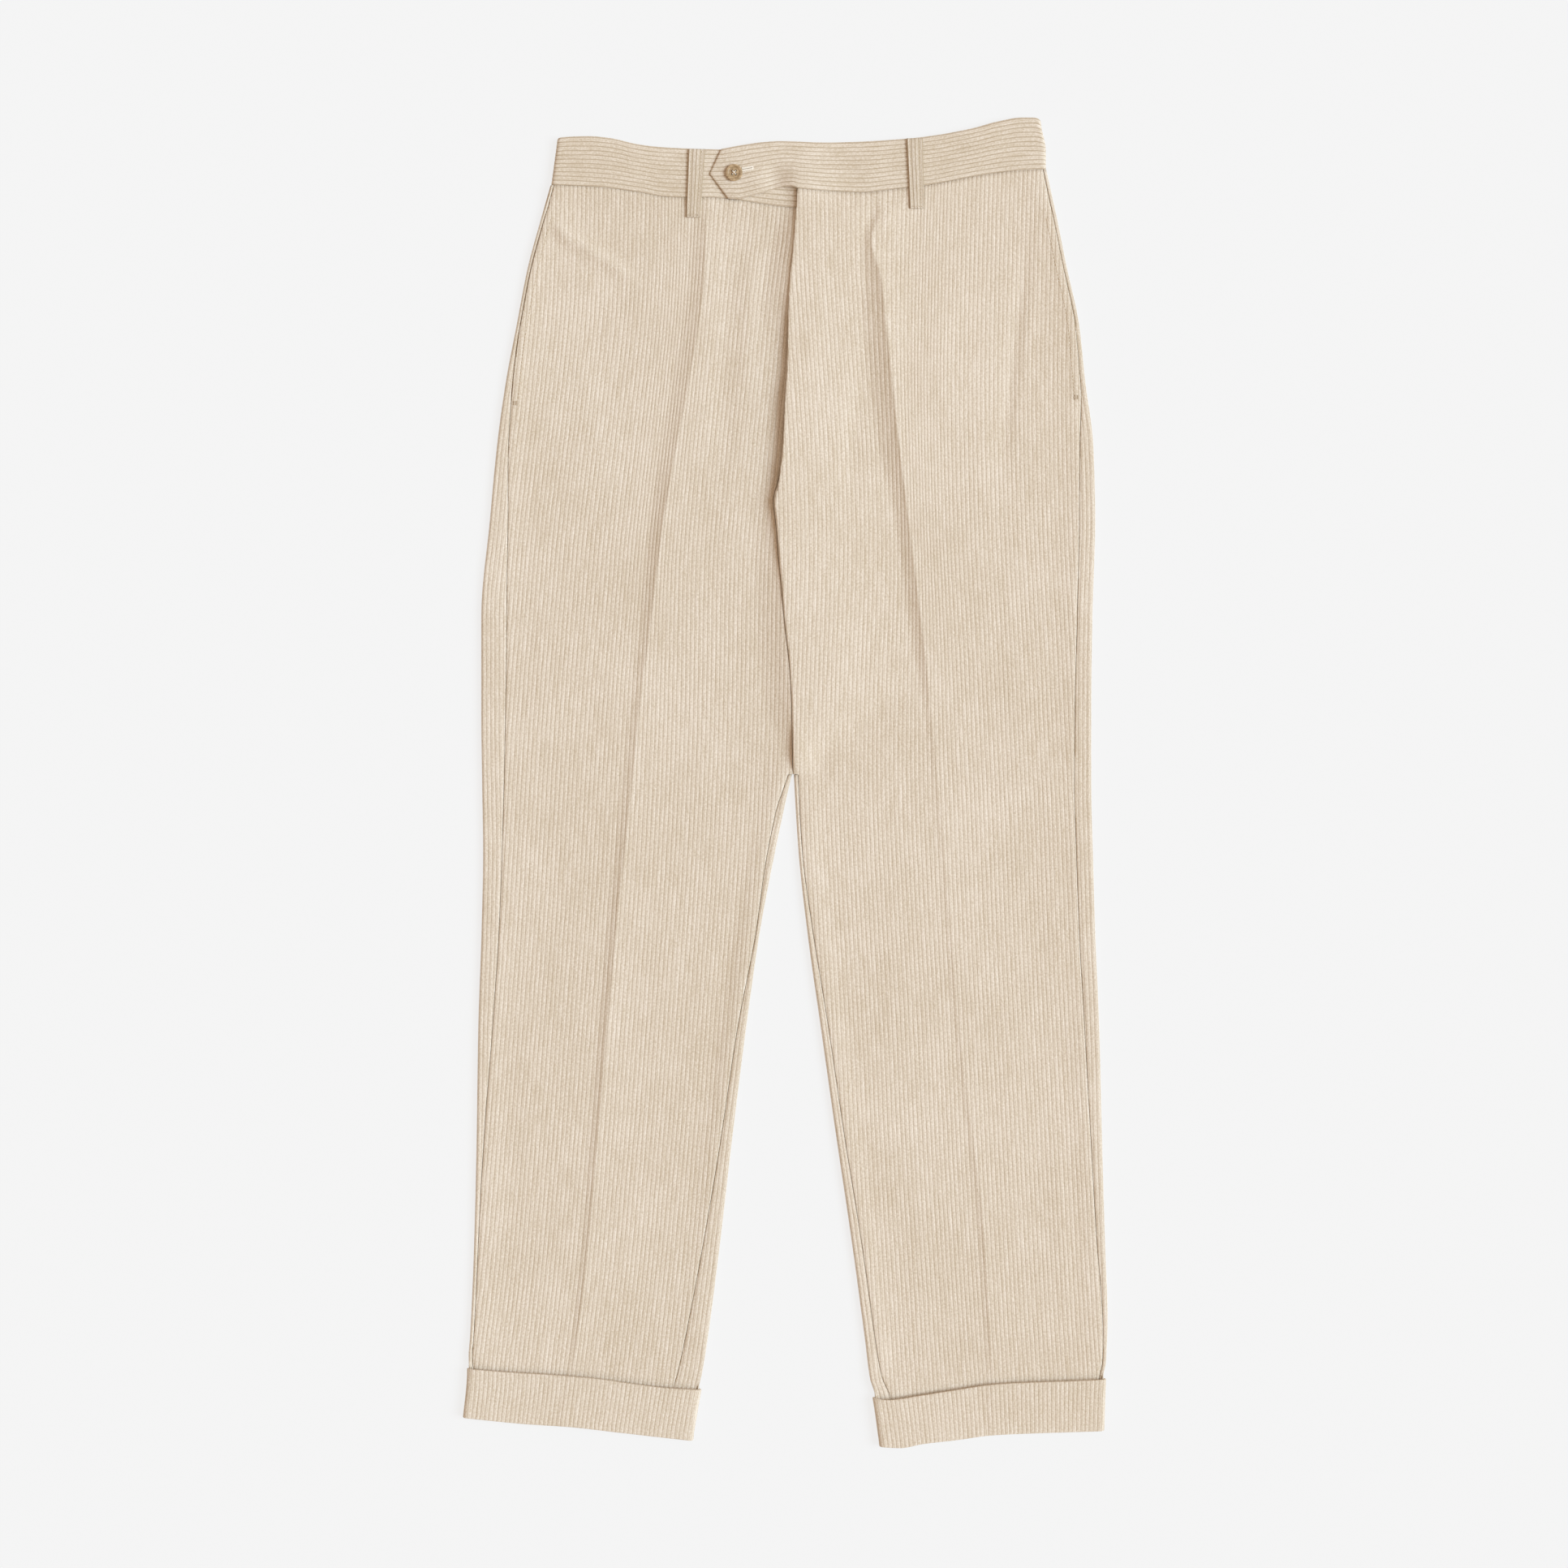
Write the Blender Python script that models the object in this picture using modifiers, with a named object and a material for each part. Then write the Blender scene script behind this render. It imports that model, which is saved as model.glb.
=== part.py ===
"""Flat-front trousers with turn-ups, laid face up: every cut piece is its own closed wall of cloth.

Frame: metres, +Z up out of the cloth, +Y towards the waist, +X towards the wearer's left.
The origin is on the floor, in the middle of the trousers' outline. "right" is the wearer's right,
so the right half lies at -X. Tables hold millimetres, measured on the laid-out garment.

Each half of the trousers is a flattened tube: a flat floor, a round fold at each side, and a top
that carries the crease. height() is that top's outer surface. The front panel is the stretch of
the tube between its two seams, and the back panel is all the rest. The cuffs and belt loops are
made from the same surface, moved out.
"""

import math

import bmesh
import bpy
import numpy as np

MM = 0.001
SEAM_GAP = 0.3
WAIST_GAP = 0.5
CLOTH = 1.5
BAND_CLOTH = 3.0
CUFF_CLOTH = 2.4
LOOP_CLOTH = 1.8

# Heights of the flattened tube's outer surface above the floor.
FOLD_RADIUS = 2.7
MIDDLE_TOP = 4.6
CREASE_RISE = 2.2
CREASE_WIDTH = 11.0
FOLD_SHOULDER = 20.0
# Inside a cuff the leg is lifted by the cuff's lower wall, and its folds are tighter.
CUFF_LIFT = CUFF_CLOTH + SEAM_GAP
CUFFED_RADIUS = 2.0
CUFFED_CREASE_RISE = 0.8

WAIST = 505.0
CROTCH = 7.0
CUFF_TOP = -508.0
HEM = -550.0
CENTRE_BACK = 6.5
CROTCH_CLEARANCE = 0.7
FLY_END = 256.0
UNDERLAP = 25.0
UNDERLAP_TAPER = 70.0
# The pocket mouths: the front's free edge stands up over the back's wrap between these levels.
POCKET_TOP = 484.0
POCKET_END = 322.0
POCKET_RISE = 0.9
POCKET_EDGE_WIDTH = 7.0

BAND_FOLD_RADIUS = 4.0
BAND_TOP = 8.0
UNDER_TAB_TOP = 6.6
TAB_TOP = UNDER_TAB_TOP + SEAM_GAP + BAND_CLOTH

BUTTON_CENTRE = (-43.5, 517.8)
BUTTON_RADIUS = 7.3
BUTTON_THICKNESS = 2.6
BUTTON_DISH_RADIUS = 4.9
BUTTON_DISH_DEPTH = 0.7
BUTTON_HOLE_RADIUS = 0.9
BUTTON_HOLE_REACH = 2.1
THREAD_RADIUS = 0.35

# Sections of each half, from the waist to the hem.
# side: x of the outer fold. seam_in: how far in from it the side seam lies. crease: x of the ridge.
# Below the crotch, inner is the x of the inner fold, and inseam_in is how far in the inseam lies.
SECTION_COLUMNS = ("y", "side", "seam_in", "crease")
RIGHT_SECTIONS = (
    (510, -199.2, 3.2, -68.5),
    (479, -208.0, 3.2, -68.0),
    (438, -219.1, 3.2, -70.2),
    (390, -228.4, 3.4, -72.7),
    (341, -237.7, 6.2, -80.8),
    (286, -245.3, 9.9, -91.4),
    (224, -251.2, 15.4, -103.2),
    (141, -258.6, 21.6, -114.9),
    (58, -258.6, 20.6, -125.2),
    (-4, -257.8, 18.5, -130.9),
    (-59, -257.0, 16.2, -136.9),
    (-128, -258.4, 14.8, -144.4),
    (-211, -261.2, 12.0, -151.4),
    (-300, -262.5, 6.4, -159.4),
    (-390, -264.6, 3.6, -167.6),
    (-473, -268.2, 3.2, -177.1),
    (-486, -269.0, 3.2, -179.5),
    (-496, -267.9, 3.2, -181.0),
    (-545, -272.0, 3.2, -190.0),
)
LEFT_SECTIONS = (
    (524, 221.7, 3.2, 82.5),
    (479, 231.5, 3.2, 80.0),
    (438, 239.8, 3.2, 81.1),
    (390, 250.1, 3.6, 87.7),
    (341, 255.4, 4.4, 92.1),
    (286, 262.3, 11.8, 97.0),
    (224, 263.9, 13.8, 102.6),
    (141, 261.5, 13.2, 113.5),
    (58, 260.5, 14.2, 121.8),
    (-4, 260.5, 14.6, 128.0),
    (-59, 261.9, 14.3, 133.5),
    (-128, 263.9, 13.8, 139.6),
    (-211, 267.4, 12.6, 146.8),
    (-300, 269.6, 9.8, 158.8),
    (-390, 272.2, 7.2, 170.6),
    (-455, 274.4, 4.4, 174.5),
    (-494, 272.8, 3.2, 176.0),
    (-504, 270.6, 3.2, 176.3),
    (-550, 268.8, 3.2, 175.8),
)
INSEAM_COLUMNS = ("y", "inner", "inseam_in")
RIGHT_INSEAM = (
    (7, 5.8, 9.0),
    (-4, 3.1, 10.4),
    (-59, -8.6, 6.4),
    (-128, -21.7, 3.4),
    (-211, -33.5, 7.4),
    (-300, -44.7, 9.6),
    (-390, -55.2, 14.2),
    (-473, -65.9, 19.3),
    (-502, -70.6, 21.0),
    (-513, -73.2, 21.5),
    (-555, -80.6, 22.0),
)
LEFT_INSEAM = (
    (7, 7.3, 3.6),
    (-4, 7.9, 3.4),
    (-59, 11.4, 3.2),
    (-128, 19.0, 4.8),
    (-211, 30.7, 6.5),
    (-300, 43.3, 7.0),
    (-390, 56.6, 8.2),
    (-473, 67.8, 8.6),
    (-507, 72.2, 10.5),
    (-519, 76.0, 12.0),
    (-562, 82.6, 14.0),
)
# The edge of the left front: the fly down to FLY_END, then the front crotch seam.
FLY_COLUMNS = ("y", "x")
FLY_LINE = (
    (507, 11.4),
    (458, 7.9),
    (422, 4.5),
    (385, 3.2),
    (358, 2.9),
    (333, 1.4),
    (308, -0.2),
    (283, -1.2),
    (262, -3.6),
    (248, -7.8),
    (238, -8.8),
    (224, -7.2),
    (194, -5.2),
    (166, -2.4),
    (136, 0.3),
    (100, 4.3),
    (65, 5.9),
    (7, 6.6),
)
# Edges of the waistband and the cuffs, as y at each x.
EDGE_COLUMNS = ("x", "y")
BAND_RIGHT_TOP = ((-199, 547.6), (-186, 549.0), (-167, 549.6), (-150, 548.2), (-125, 542.7), (-108, 540.6),
                  (-82, 539.2), (-54, 538.5), (-18, 541.0), (12, 541.5))
BAND_RIGHT_BOTTOM = ((-199, 508.2), (-158, 506.1), (-125, 502.0), (-102, 498.0), (-84, 497.4),
                     (-66, 497.6), (-50, 496.6), (-16, 491.6), (10, 488.2))
BAND_LEFT_TOP = ((-54, 538.5), (-35, 542.0), (-18, 544.3), (-4, 545.1), (30, 544.1), (60, 544.8),
                 (103, 547.5), (125, 550.0), (160, 556.5), (180, 562.0), (202, 565.5), (211, 565.5), (222, 562.0))
BAND_LEFT_BOTTOM = ((-49, 496.2), (-40, 495.8), (-31, 497.8), (-20, 500.6), (-7, 504.7), (0, 506.1), (6, 506.1),
                    (12, 504.2), (51, 502.0), (65, 501.6), (92, 504.4), (119, 507.5), (160, 515.1),
                    (194, 519.9), (222, 521.6))
BAND_BACK_TOP = ((-199, 547.0), (-186, 548.0), (-150, 547.0), (-125, 541.8), (-82, 538.2), (-54, 537.5),
                 (0, 541.5), (60, 543.8), (125, 549.0), (160, 555.5), (180, 561.0), (202, 563.8), (222, 561.0))
BAND_BACK_BOTTOM = ((-199, 508.2), (-110, 503.0), (6, 502.0), (110, 507.0), (222, 521.6))
CUFF_RIGHT_TOP = ((-271, -497.8), (-236, -500.6), (-191, -503.4), (-161, -506.1), (-131, -510.3), (-104, -513.7),
                  (-71, -515.8))
CUFF_RIGHT_BOTTOM = ((-272, -540.0), (-220, -545.1), (-183, -547.5), (-146, -551.7), (-104, -556.5), (-80, -559.2))
CUFF_LEFT_TOP = ((73, -522.3), (87, -524.2), (114, -520.6), (146, -515.5), (178, -510.9), (209, -509.2),
                 (241, -508.2), (273, -506.8))
CUFF_LEFT_BOTTOM = ((78, -564.4), (98, -565.4), (117, -562.0), (146, -558.6), (178, -554.4), (209, -553.0),
                    (271, -551.0))

# Largest folds, pressed or fallen into the fronts: a soft ridge (or trough, when rise is negative)
# along the line from (x0, y0) to (x1, y1).
FOLD_COLUMNS = ("x0", "y0", "x1", "y1", "rise", "width")
FOLDS = (
    (-198, 474, -129, 428, 1.2, 8),
    (-160, 452, -110, 425, -0.6, 14),
    (206, 452, 182, 258, -0.7, 13),
    (-39, 479, -56, 238, -0.6, 12),
    (78, 500, 72, 452, -0.8, 9),
    (71, 390, 54, 238, -0.6, 12),
    (-191, 100, -129, 72, 0.7, 12),
    (-25, -59, -80, -328, -0.5, 11),
)

# Levels of the panels' rows, from the waist seam to the hem inside the cuff.
PANEL_LEVELS = (505, 494, 480, 464, 446, 424, 396, 362, 326, 290, 262, 244, 214, 176, 132, 84, 40, 16,
                CROTCH + 1.0, CROTCH - 0.5, -12, -42, -84, -136, -196, -260, -322, -382, -436, -474, -492,
                -502, -506.5, -512, -530, -547)
# Where the columns lie between a seam (0) and the crease (1).
COLUMN_SPREAD = (0.0, 0.04, 0.12, 0.26, 0.45, 0.65, 0.80, 0.90, 0.96, 1.0)
ARC_STEPS = 6
FLOOR_STEPS = 6

CLOTH_COLOUR = (0.70, 0.585, 0.46, 1.0)
CREASED_CLOTH_COLOUR = (0.67, 0.56, 0.435, 1.0)
BUTTON_COLOUR = (0.40, 0.275, 0.165, 1.0)
THREAD_COLOUR = (0.78, 0.69, 0.56, 1.0)


def smoothstep(low, high, value):
    """0 below low, 1 above high, and an S-curve between them."""
    t = np.clip((value - low) / (high - low), 0.0, 1.0)
    return t * t * (3.0 - 2.0 * t)


def curve(rows, column=1):
    """A smooth function through one column of a table, against its first; it never overshoots a row."""
    table = np.array(sorted(rows), float)
    x, y = table[:, 0], table[:, column]
    rise = np.diff(y) / np.diff(x)
    turning = rise[:-1] * rise[1:] <= 0.0
    mean = 2.0 * rise[:-1] * rise[1:] / np.where(turning, 1.0, rise[:-1] + rise[1:])
    slope = np.concatenate(([rise[0]], np.where(turning, 0.0, mean), [rise[-1]]))

    def at(value):
        value = np.clip(value, x[0], x[-1])
        i = np.clip(np.searchsorted(x, value) - 1, 0, len(x) - 2)
        step = x[i + 1] - x[i]
        t = (value - x[i]) / step
        start = (1 + 2 * t) * (1 - t) ** 2 * y[i] + t * (1 - t) ** 2 * step * slope[i]
        end = t * t * (3 - 2 * t) * y[i + 1] + t * t * (t - 1) * step * slope[i + 1]
        return start + end

    return at


FLY = curve(FLY_LINE)
BACK_WAIST = curve(BAND_BACK_BOTTOM)
BACK_TOP = curve(BAND_BACK_TOP)


class Half:
    """One half of the trousers: its outlines, seams and the height of its top surface.

    toward is the X direction from the side fold to the middle: +1 on the right half, -1 on the left.
    """

    def __init__(self, name, toward, sections, inseam, waist, cuff_top, hem):
        self.name = name
        self.toward = toward
        self.side = curve(sections, SECTION_COLUMNS.index("side"))
        self.seam_in = curve(sections, SECTION_COLUMNS.index("seam_in"))
        self.crease = curve(sections, SECTION_COLUMNS.index("crease"))
        self.inner = curve(inseam, INSEAM_COLUMNS.index("inner"))
        self.inseam_in = curve(inseam, INSEAM_COLUMNS.index("inseam_in"))
        self.waist = curve(waist)
        self.cuff_top = curve(cuff_top)
        self.hem = curve(hem)

    def side_seam(self, y):
        return self.side(y) + self.toward * self.seam_in(y)

    def inseam(self, y):
        return self.inner(y) - self.toward * self.inseam_in(y)

    def cuffed(self, x, y):
        """0 above the cuff and 1 inside it."""
        top = self.cuff_top(x)
        return smoothstep(top + 50.0, top + 2.0, y)

    def radius(self, x, y):
        return FOLD_RADIUS + (CUFFED_RADIUS - FOLD_RADIUS) * self.cuffed(x, y)

    def floor(self, x, y):
        return CUFF_LIFT * self.cuffed(x, y)

    def row_y(self, level, x, waist=None):
        """The y of a row at x: rows follow the waist seam at the top and the hem at the bottom."""
        waist = waist or self.waist
        near_waist = smoothstep(400.0, WAIST - 12.0, level)
        near_hem = smoothstep(-400.0, CUFF_TOP + 8.0, level)
        hem = 0.5 * (self.hem(x) - HEM + self.cuff_top(x) - CUFF_TOP)
        seam = waist(x) - WAIST_GAP - WAIST
        return level + near_waist * seam + near_hem * hem

    def front_edge(self, y):
        """The x where the front panel ends in the middle: fly or crotch seam above, inseam below."""
        if y <= CROTCH:
            return self.inseam(y) - self.toward * 0.5 * SEAM_GAP
        if self.toward < 0:
            return FLY(y) + 0.5 * SEAM_GAP
        return FLY(y) + underlap(y)

    def height(self, x, y):
        """The outer surface of the top, above the floor."""
        radius = self.radius(x, y)
        floor = self.floor(x, y)
        cuffed = self.cuffed(x, y)
        fold_top = floor + 2.0 * radius
        middle = MIDDLE_TOP + cuffed * (CUFF_LIFT + 2.0 * CUFFED_RADIUS - MIDDLE_TOP)
        from_side = self.toward * (x - self.side(y))
        near_fold = 1.0 - smoothstep(radius, radius + FOLD_SHOULDER, from_side)
        if y <= CROTCH:
            from_inner = self.toward * (self.inner(y) - x)
            near_fold += 1.0 - smoothstep(radius, radius + FOLD_SHOULDER, from_inner)
        z = middle + (fold_top - middle) * near_fold
        rise = CREASE_RISE + (CUFFED_CREASE_RISE - CREASE_RISE) * cuffed
        rise *= 0.45 + 0.55 * smoothstep(WAIST, WAIST - 45.0, y)
        z += rise / (1.0 + ((x - self.crease(y)) / CREASE_WIDTH) ** 2)
        z += fold_rise(x, y) * (1.0 - near_fold)
        return z + self.fly_rise(x, y)

    def pocket_rise(self, x, y):
        """The front's folded edge at the pocket mouth."""
        from_seam = self.toward * (x - self.side_seam(y))
        mouth = smoothstep(POCKET_TOP + 8.0, POCKET_TOP - 8.0, y) * smoothstep(POCKET_END - 6.0, POCKET_END + 10.0, y)
        return POCKET_RISE * mouth * (1.0 - smoothstep(0.6 * POCKET_EDGE_WIDTH, 1.6 * POCKET_EDGE_WIDTH, from_seam))

    def fly_rise(self, x, y):
        """The left front is lifted over the right front's underlap, and the right front is flat there."""
        above_crotch = smoothstep(CROTCH, CROTCH + 12.0, y)
        if self.toward > 0:
            return -0.25 * above_crotch * smoothstep(FLY(y) - 18.0, FLY(y) - 2.0, x)
        reach = max(underlap(y), 2.0) + 6.0
        lift = 1.5 + 0.8 * smoothstep(FLY_END - 40.0, FLY_END + 5.0, y)
        edge_lift = above_crotch * lift + (1.0 - above_crotch) * 0.8 * (y > CROTCH)
        return edge_lift * (1.0 - smoothstep(FLY(y) + reach, FLY(y) + reach + 20.0, x))


def underlap(y):
    """How far the right front runs on under the left one; a seam gap short of it below the fly."""
    share = smoothstep(FLY_END, FLY_END + UNDERLAP_TAPER, y)
    return share * UNDERLAP - (1.0 - share) * 0.5 * SEAM_GAP


def fold_rise(x, y):
    """The sum of the folds in FOLDS at a point."""
    total = 0.0
    for x0, y0, x1, y1, rise, width in FOLDS:
        length = math.hypot(x1 - x0, y1 - y0)
        along = ((x - x0) * (x1 - x0) + (y - y0) * (y1 - y0)) / length
        across = ((x - x0) * (y1 - y0) - (y - y0) * (x1 - x0)) / length
        ends = smoothstep(-0.1 * length, 0.25 * length, along) * smoothstep(1.1 * length, 0.7 * length, along)
        total += rise * ends * math.exp(-((across / width) ** 2))
    return total


RIGHT = Half("right", 1, RIGHT_SECTIONS, RIGHT_INSEAM, BAND_RIGHT_BOTTOM, CUFF_RIGHT_TOP, CUFF_RIGHT_BOTTOM)
LEFT = Half("left", -1, LEFT_SECTIONS, LEFT_INSEAM, BAND_LEFT_BOTTOM, CUFF_LEFT_TOP, CUFF_LEFT_BOTTOM)


def settle(place, level_to_y):
    """A point whose x depends on its y and the other way round, found in a few rounds."""
    x, y = place(level_to_y(0.0))[0], level_to_y(0.0)
    for _ in range(6):
        y = level_to_y(x)
        x = place(y)[0]
    return x, y, place(y)[1]


def front_point(half, level, column):
    """A point of a front panel's outer surface; column 0 is the side seam and 2 the middle edge."""
    def place(y):
        start = half.side_seam(y) + half.toward * 0.5 * SEAM_GAP
        crease = half.crease(y)
        end = half.front_edge(y)
        x = start + (crease - start) * column if column <= 1 else crease + (end - crease) * (column - 1)
        return x, 0.0

    x, y, _ = settle(place, lambda x: half.row_y(level, x))
    return x, y, half.height(x, y) + half.pocket_rise(x, y)


def fold_point(half, edge, inward, angle, y):
    """A point on a fold's arc: angle 90 is its top, 0 its outermost point and -90 the floor."""
    radius = half.radius(edge, y)
    x = edge + inward * radius * (1.0 - math.cos(math.radians(angle)))
    z = half.floor(edge, y) + radius * (1.0 + math.sin(math.radians(angle)))
    return x, z


def back_columns():
    """The back panel's columns in order: side strip, side fold, floor, inner fold, inner strip."""
    arc = [90.0 - 180.0 * i / ARC_STEPS for i in range(ARC_STEPS + 1)]
    columns = [("side_strip", 0.0)] + [("side_fold", a) for a in arc]
    columns += [("floor", (i + 1) / FLOOR_STEPS) for i in range(FLOOR_STEPS)]
    columns += [("inner_fold", a) for a in reversed(arc[:-1])]
    return columns + [("inner_strip", 0.0)]


def back_point(half, level, column):
    """A point of a back panel's outer surface, in the order of back_columns()."""
    stretch, t = column

    def place(y):
        side, inner = half.side(y), half.inner(y)
        radius = half.radius(side, y)
        if stretch == "side_strip":
            x = half.side_seam(y) - half.toward * 0.5 * SEAM_GAP
            return x, half.height(x, y)
        if stretch == "side_fold":
            return fold_point(half, side, half.toward, t, y)
        if stretch == "inner_fold":
            return fold_point(half, inner, -half.toward, t, y)
        if stretch == "inner_strip":
            x = half.inseam(y) + half.toward * 0.5 * SEAM_GAP
            return x, half.height(x, y)
        start = side + half.toward * radius
        end = inner - half.toward * radius
        if y > CROTCH:
            end = CENTRE_BACK - half.toward * 0.5 * SEAM_GAP
        x = start + (end - start) * t
        return x, half.floor(x, y)

    waist = half.waist if stretch in ("side_strip", "side_fold") else BACK_WAIST
    return settle(place, lambda x: half.row_y(level, x, waist))


def set_scene():
    """An empty scene with a collection for the trousers."""
    for item in list(bpy.data.objects):
        bpy.data.objects.remove(item, do_unlink=True)
    collection = bpy.data.collections.new("trousers")
    bpy.context.scene.collection.children.link(collection)
    cutters = bpy.data.collections.new("cutters")
    bpy.context.scene.collection.children.link(cutters)
    return collection, cutters


def surface(name, colour, roughness=0.9):
    material = bpy.data.materials.new(name)
    material.use_nodes = True
    shader = material.node_tree.nodes["Principled BSDF"]
    shader.inputs["Base Color"].default_value = colour
    shader.inputs["Roughness"].default_value = roughness
    shader.inputs["Metallic"].default_value = 0.0
    return material


def sheet(name, rows, collection, colour, thickness, outward=False, closed=False, round_edge=0.0, skip=None):
    """An open grid of points given a thickness, under its outer surface or, if outward, over its inner one.

    rows is a list of rows of points in millimetres. closed joins each row's last point to its
    first. skip(row, column) leaves out the face whose first corner is there.
    """
    rows_count, columns_count = len(rows), len(rows[0])
    bm = bmesh.new()
    verts = [[bm.verts.new([c * MM for c in point]) for point in row] for row in rows]
    for i in range(rows_count - 1):
        for j in range(columns_count if closed else columns_count - 1):
            if skip and skip(i, j):
                continue
            k = (j + 1) % columns_count
            bm.faces.new((verts[i][j], verts[i + 1][j], verts[i + 1][k], verts[i][k]))
    bmesh.ops.delete(bm, geom=[v for v in bm.verts if not v.link_faces], context="VERTS")
    mesh = bpy.data.meshes.new(name)
    bm.to_mesh(mesh)
    bm.free()
    item = bpy.data.objects.new(name, mesh)
    collection.objects.link(item)
    mesh.materials.append(surface(name, colour))
    solidify = item.modifiers.new("cloth", "SOLIDIFY")
    solidify.thickness = thickness * MM
    solidify.offset = 1.0 if outward else -1.0
    if round_edge:
        bevel = item.modifiers.new("rounded edge", "BEVEL")
        bevel.width = round_edge * MM
        bevel.segments = 2
        bevel.limit_method = "ANGLE"
        bevel.angle_limit = math.radians(50)
    mesh.shade_smooth()
    return item


def ordered(rows, half):
    """Rows with their columns running to +X on the top side, so that faces point out."""
    return rows if half.toward > 0 else [row[::-1] for row in rows]


def make_front(half, collection):
    columns = list(COLUMN_SPREAD) + [2.0 - t for t in reversed(COLUMN_SPREAD[:-1])]
    rows = [[front_point(half, level, column) for column in columns] for level in PANEL_LEVELS]
    sheet(f"front_{half.name}", ordered(rows, half), collection, CLOTH_COLOUR, CLOTH)


def make_back(half, collection):
    """The back panel: above the crotch it stops at the centre back, below it wraps to the inseam."""
    columns = back_columns()
    crotch_row = PANEL_LEVELS.index(CROTCH - 0.5)
    floor_end = [stretch for stretch, _ in columns].index("inner_fold") - 1
    levels = list(PANEL_LEVELS)
    levels[crotch_row] -= CROTCH_CLEARANCE
    rows = [[back_point(half, level, column) for column in columns] for level in levels]
    if half.toward > 0:
        rows = [row[::-1] for row in rows]
        floor_end = len(columns) - 1 - floor_end

    def above_crotch(i, j):
        return i < crotch_row and (j < floor_end if half.toward > 0 else j >= floor_end)

    sheet(f"back_{half.name}", rows, collection, CREASED_CLOTH_COLOUR, CLOTH, skip=above_crotch)


def band_height(half, x):
    """The outer surface of the waistband's front part."""
    if half.toward > 0:
        return BAND_TOP + (UNDER_TAB_TOP - BAND_TOP) * smoothstep(-125.0, -85.0, x)
    return TAB_TOP + (BAND_TOP - TAB_TOP) * smoothstep(12.0, 48.0, x)


def band_side(half, share):
    """The x of the waistband's side fold, share of the way down its height."""
    if half.toward > 0:
        return -193.6 - 5.4 * share
    return 217.6 + 4.2 * smoothstep(0.0, 0.6, share)


def band_end(half, share):
    """The x where the band ends at the front: short of the fly, or the tab's point."""
    if half.toward > 0:
        return 9.6
    point_share = 0.5
    if share < point_share:
        return -54.2 - 10.0 * share / point_share
    return -64.2 + 15.8 * (share - point_share) / (1.0 - point_share)


def make_band(half, collection):
    """The waistband from the front edge, round the side fold, to the centre back."""
    top = curve(BAND_RIGHT_TOP if half.toward > 0 else BAND_LEFT_TOP)
    bottom = half.waist
    shares = (0.0, 0.25, 0.5, 0.75, 1.0)
    front_steps, back_steps = 16, 6
    rows = []
    for share in shares:
        row = []
        side = band_side(half, share)
        start = side + half.toward * BAND_FOLD_RADIUS
        for i in range(front_steps):
            x = band_end(half, share) + (start - band_end(half, share)) * i / front_steps
            row.append((x, top(x) + (bottom(x) - top(x)) * share, band_height(half, x)))
        for i in range(ARC_STEPS + 1):
            angle = math.radians(90.0 - 180.0 * i / ARC_STEPS)
            x = side + half.toward * BAND_FOLD_RADIUS * (1.0 - math.cos(angle))
            front_y = top(x) + (bottom(x) - top(x)) * share
            back_y = BACK_TOP(x) + (BACK_WAIST(x) - BACK_TOP(x)) * share
            row.append((x, front_y + (back_y - front_y) * i / ARC_STEPS, BAND_FOLD_RADIUS * (1.0 + math.sin(angle))))
        end = CENTRE_BACK - half.toward * 0.5 * SEAM_GAP
        for i in range(1, back_steps + 1):
            x = start + (end - start) * i / back_steps
            row.append((x, BACK_TOP(x) + (BACK_WAIST(x) - BACK_TOP(x)) * share, 0.0))
        rows.append(row)
    rows = [row[::-1] for row in rows] if half.toward > 0 else rows
    sheet(f"waistband_{half.name}", rows, collection, CLOTH_COLOUR, BAND_CLOTH, round_edge=0.8)


def make_cuff(half, collection):
    """The turn-up: a closed ring round the leg's end, made from the leg's surface moved out."""
    shares = (0.0, 0.3, 0.65, 1.0)
    rows = []
    for share in shares:
        row = []

        def level(x):
            return half.cuff_top(x) + (half.hem(x) - half.cuff_top(x)) * share

        def inside(x):
            return min(level(x), half.cuff_top(x) - 1.0)

        side = settle(lambda y: (half.side(y), 0.0), inside)
        inner = settle(lambda y: (half.inner(y), 0.0), inside)
        radius = CUFFED_RADIUS + SEAM_GAP
        centre_z = CUFF_LIFT + CUFFED_RADIUS
        left, right = sorted((side[0], inner[0]))
        left += CUFFED_RADIUS
        right -= CUFFED_RADIUS
        top_columns = (0.04, 0.12, 0.22, 0.32, 0.38, 0.42, 0.46, 0.5, 0.56, 0.64, 0.76, 0.88, 0.96)
        for i in range(ARC_STEPS + 1):
            angle = math.radians(-90.0 - 180.0 * i / ARC_STEPS)
            x = left + radius * math.cos(angle)
            row.append((x, level(x), centre_z + radius * math.sin(angle)))
        for t in top_columns:
            x = left + (right - left) * t
            row.append((x, level(x), half.height(x, inside(x)) + SEAM_GAP))
        for i in range(ARC_STEPS + 1):
            angle = math.radians(90.0 - 180.0 * i / ARC_STEPS)
            x = right + radius * math.cos(angle)
            row.append((x, level(x), centre_z + radius * math.sin(angle)))
        for i in range(1, FLOOR_STEPS):
            x = right + (left - right) * i / FLOOR_STEPS
            row.append((x, level(x), CUFF_CLOTH))
        rows.append(row)
    sheet(f"cuff_{half.name}", rows, collection, CLOTH_COLOUR, CUFF_CLOTH, outward=True, closed=True,
          round_edge=0.7)


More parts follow.
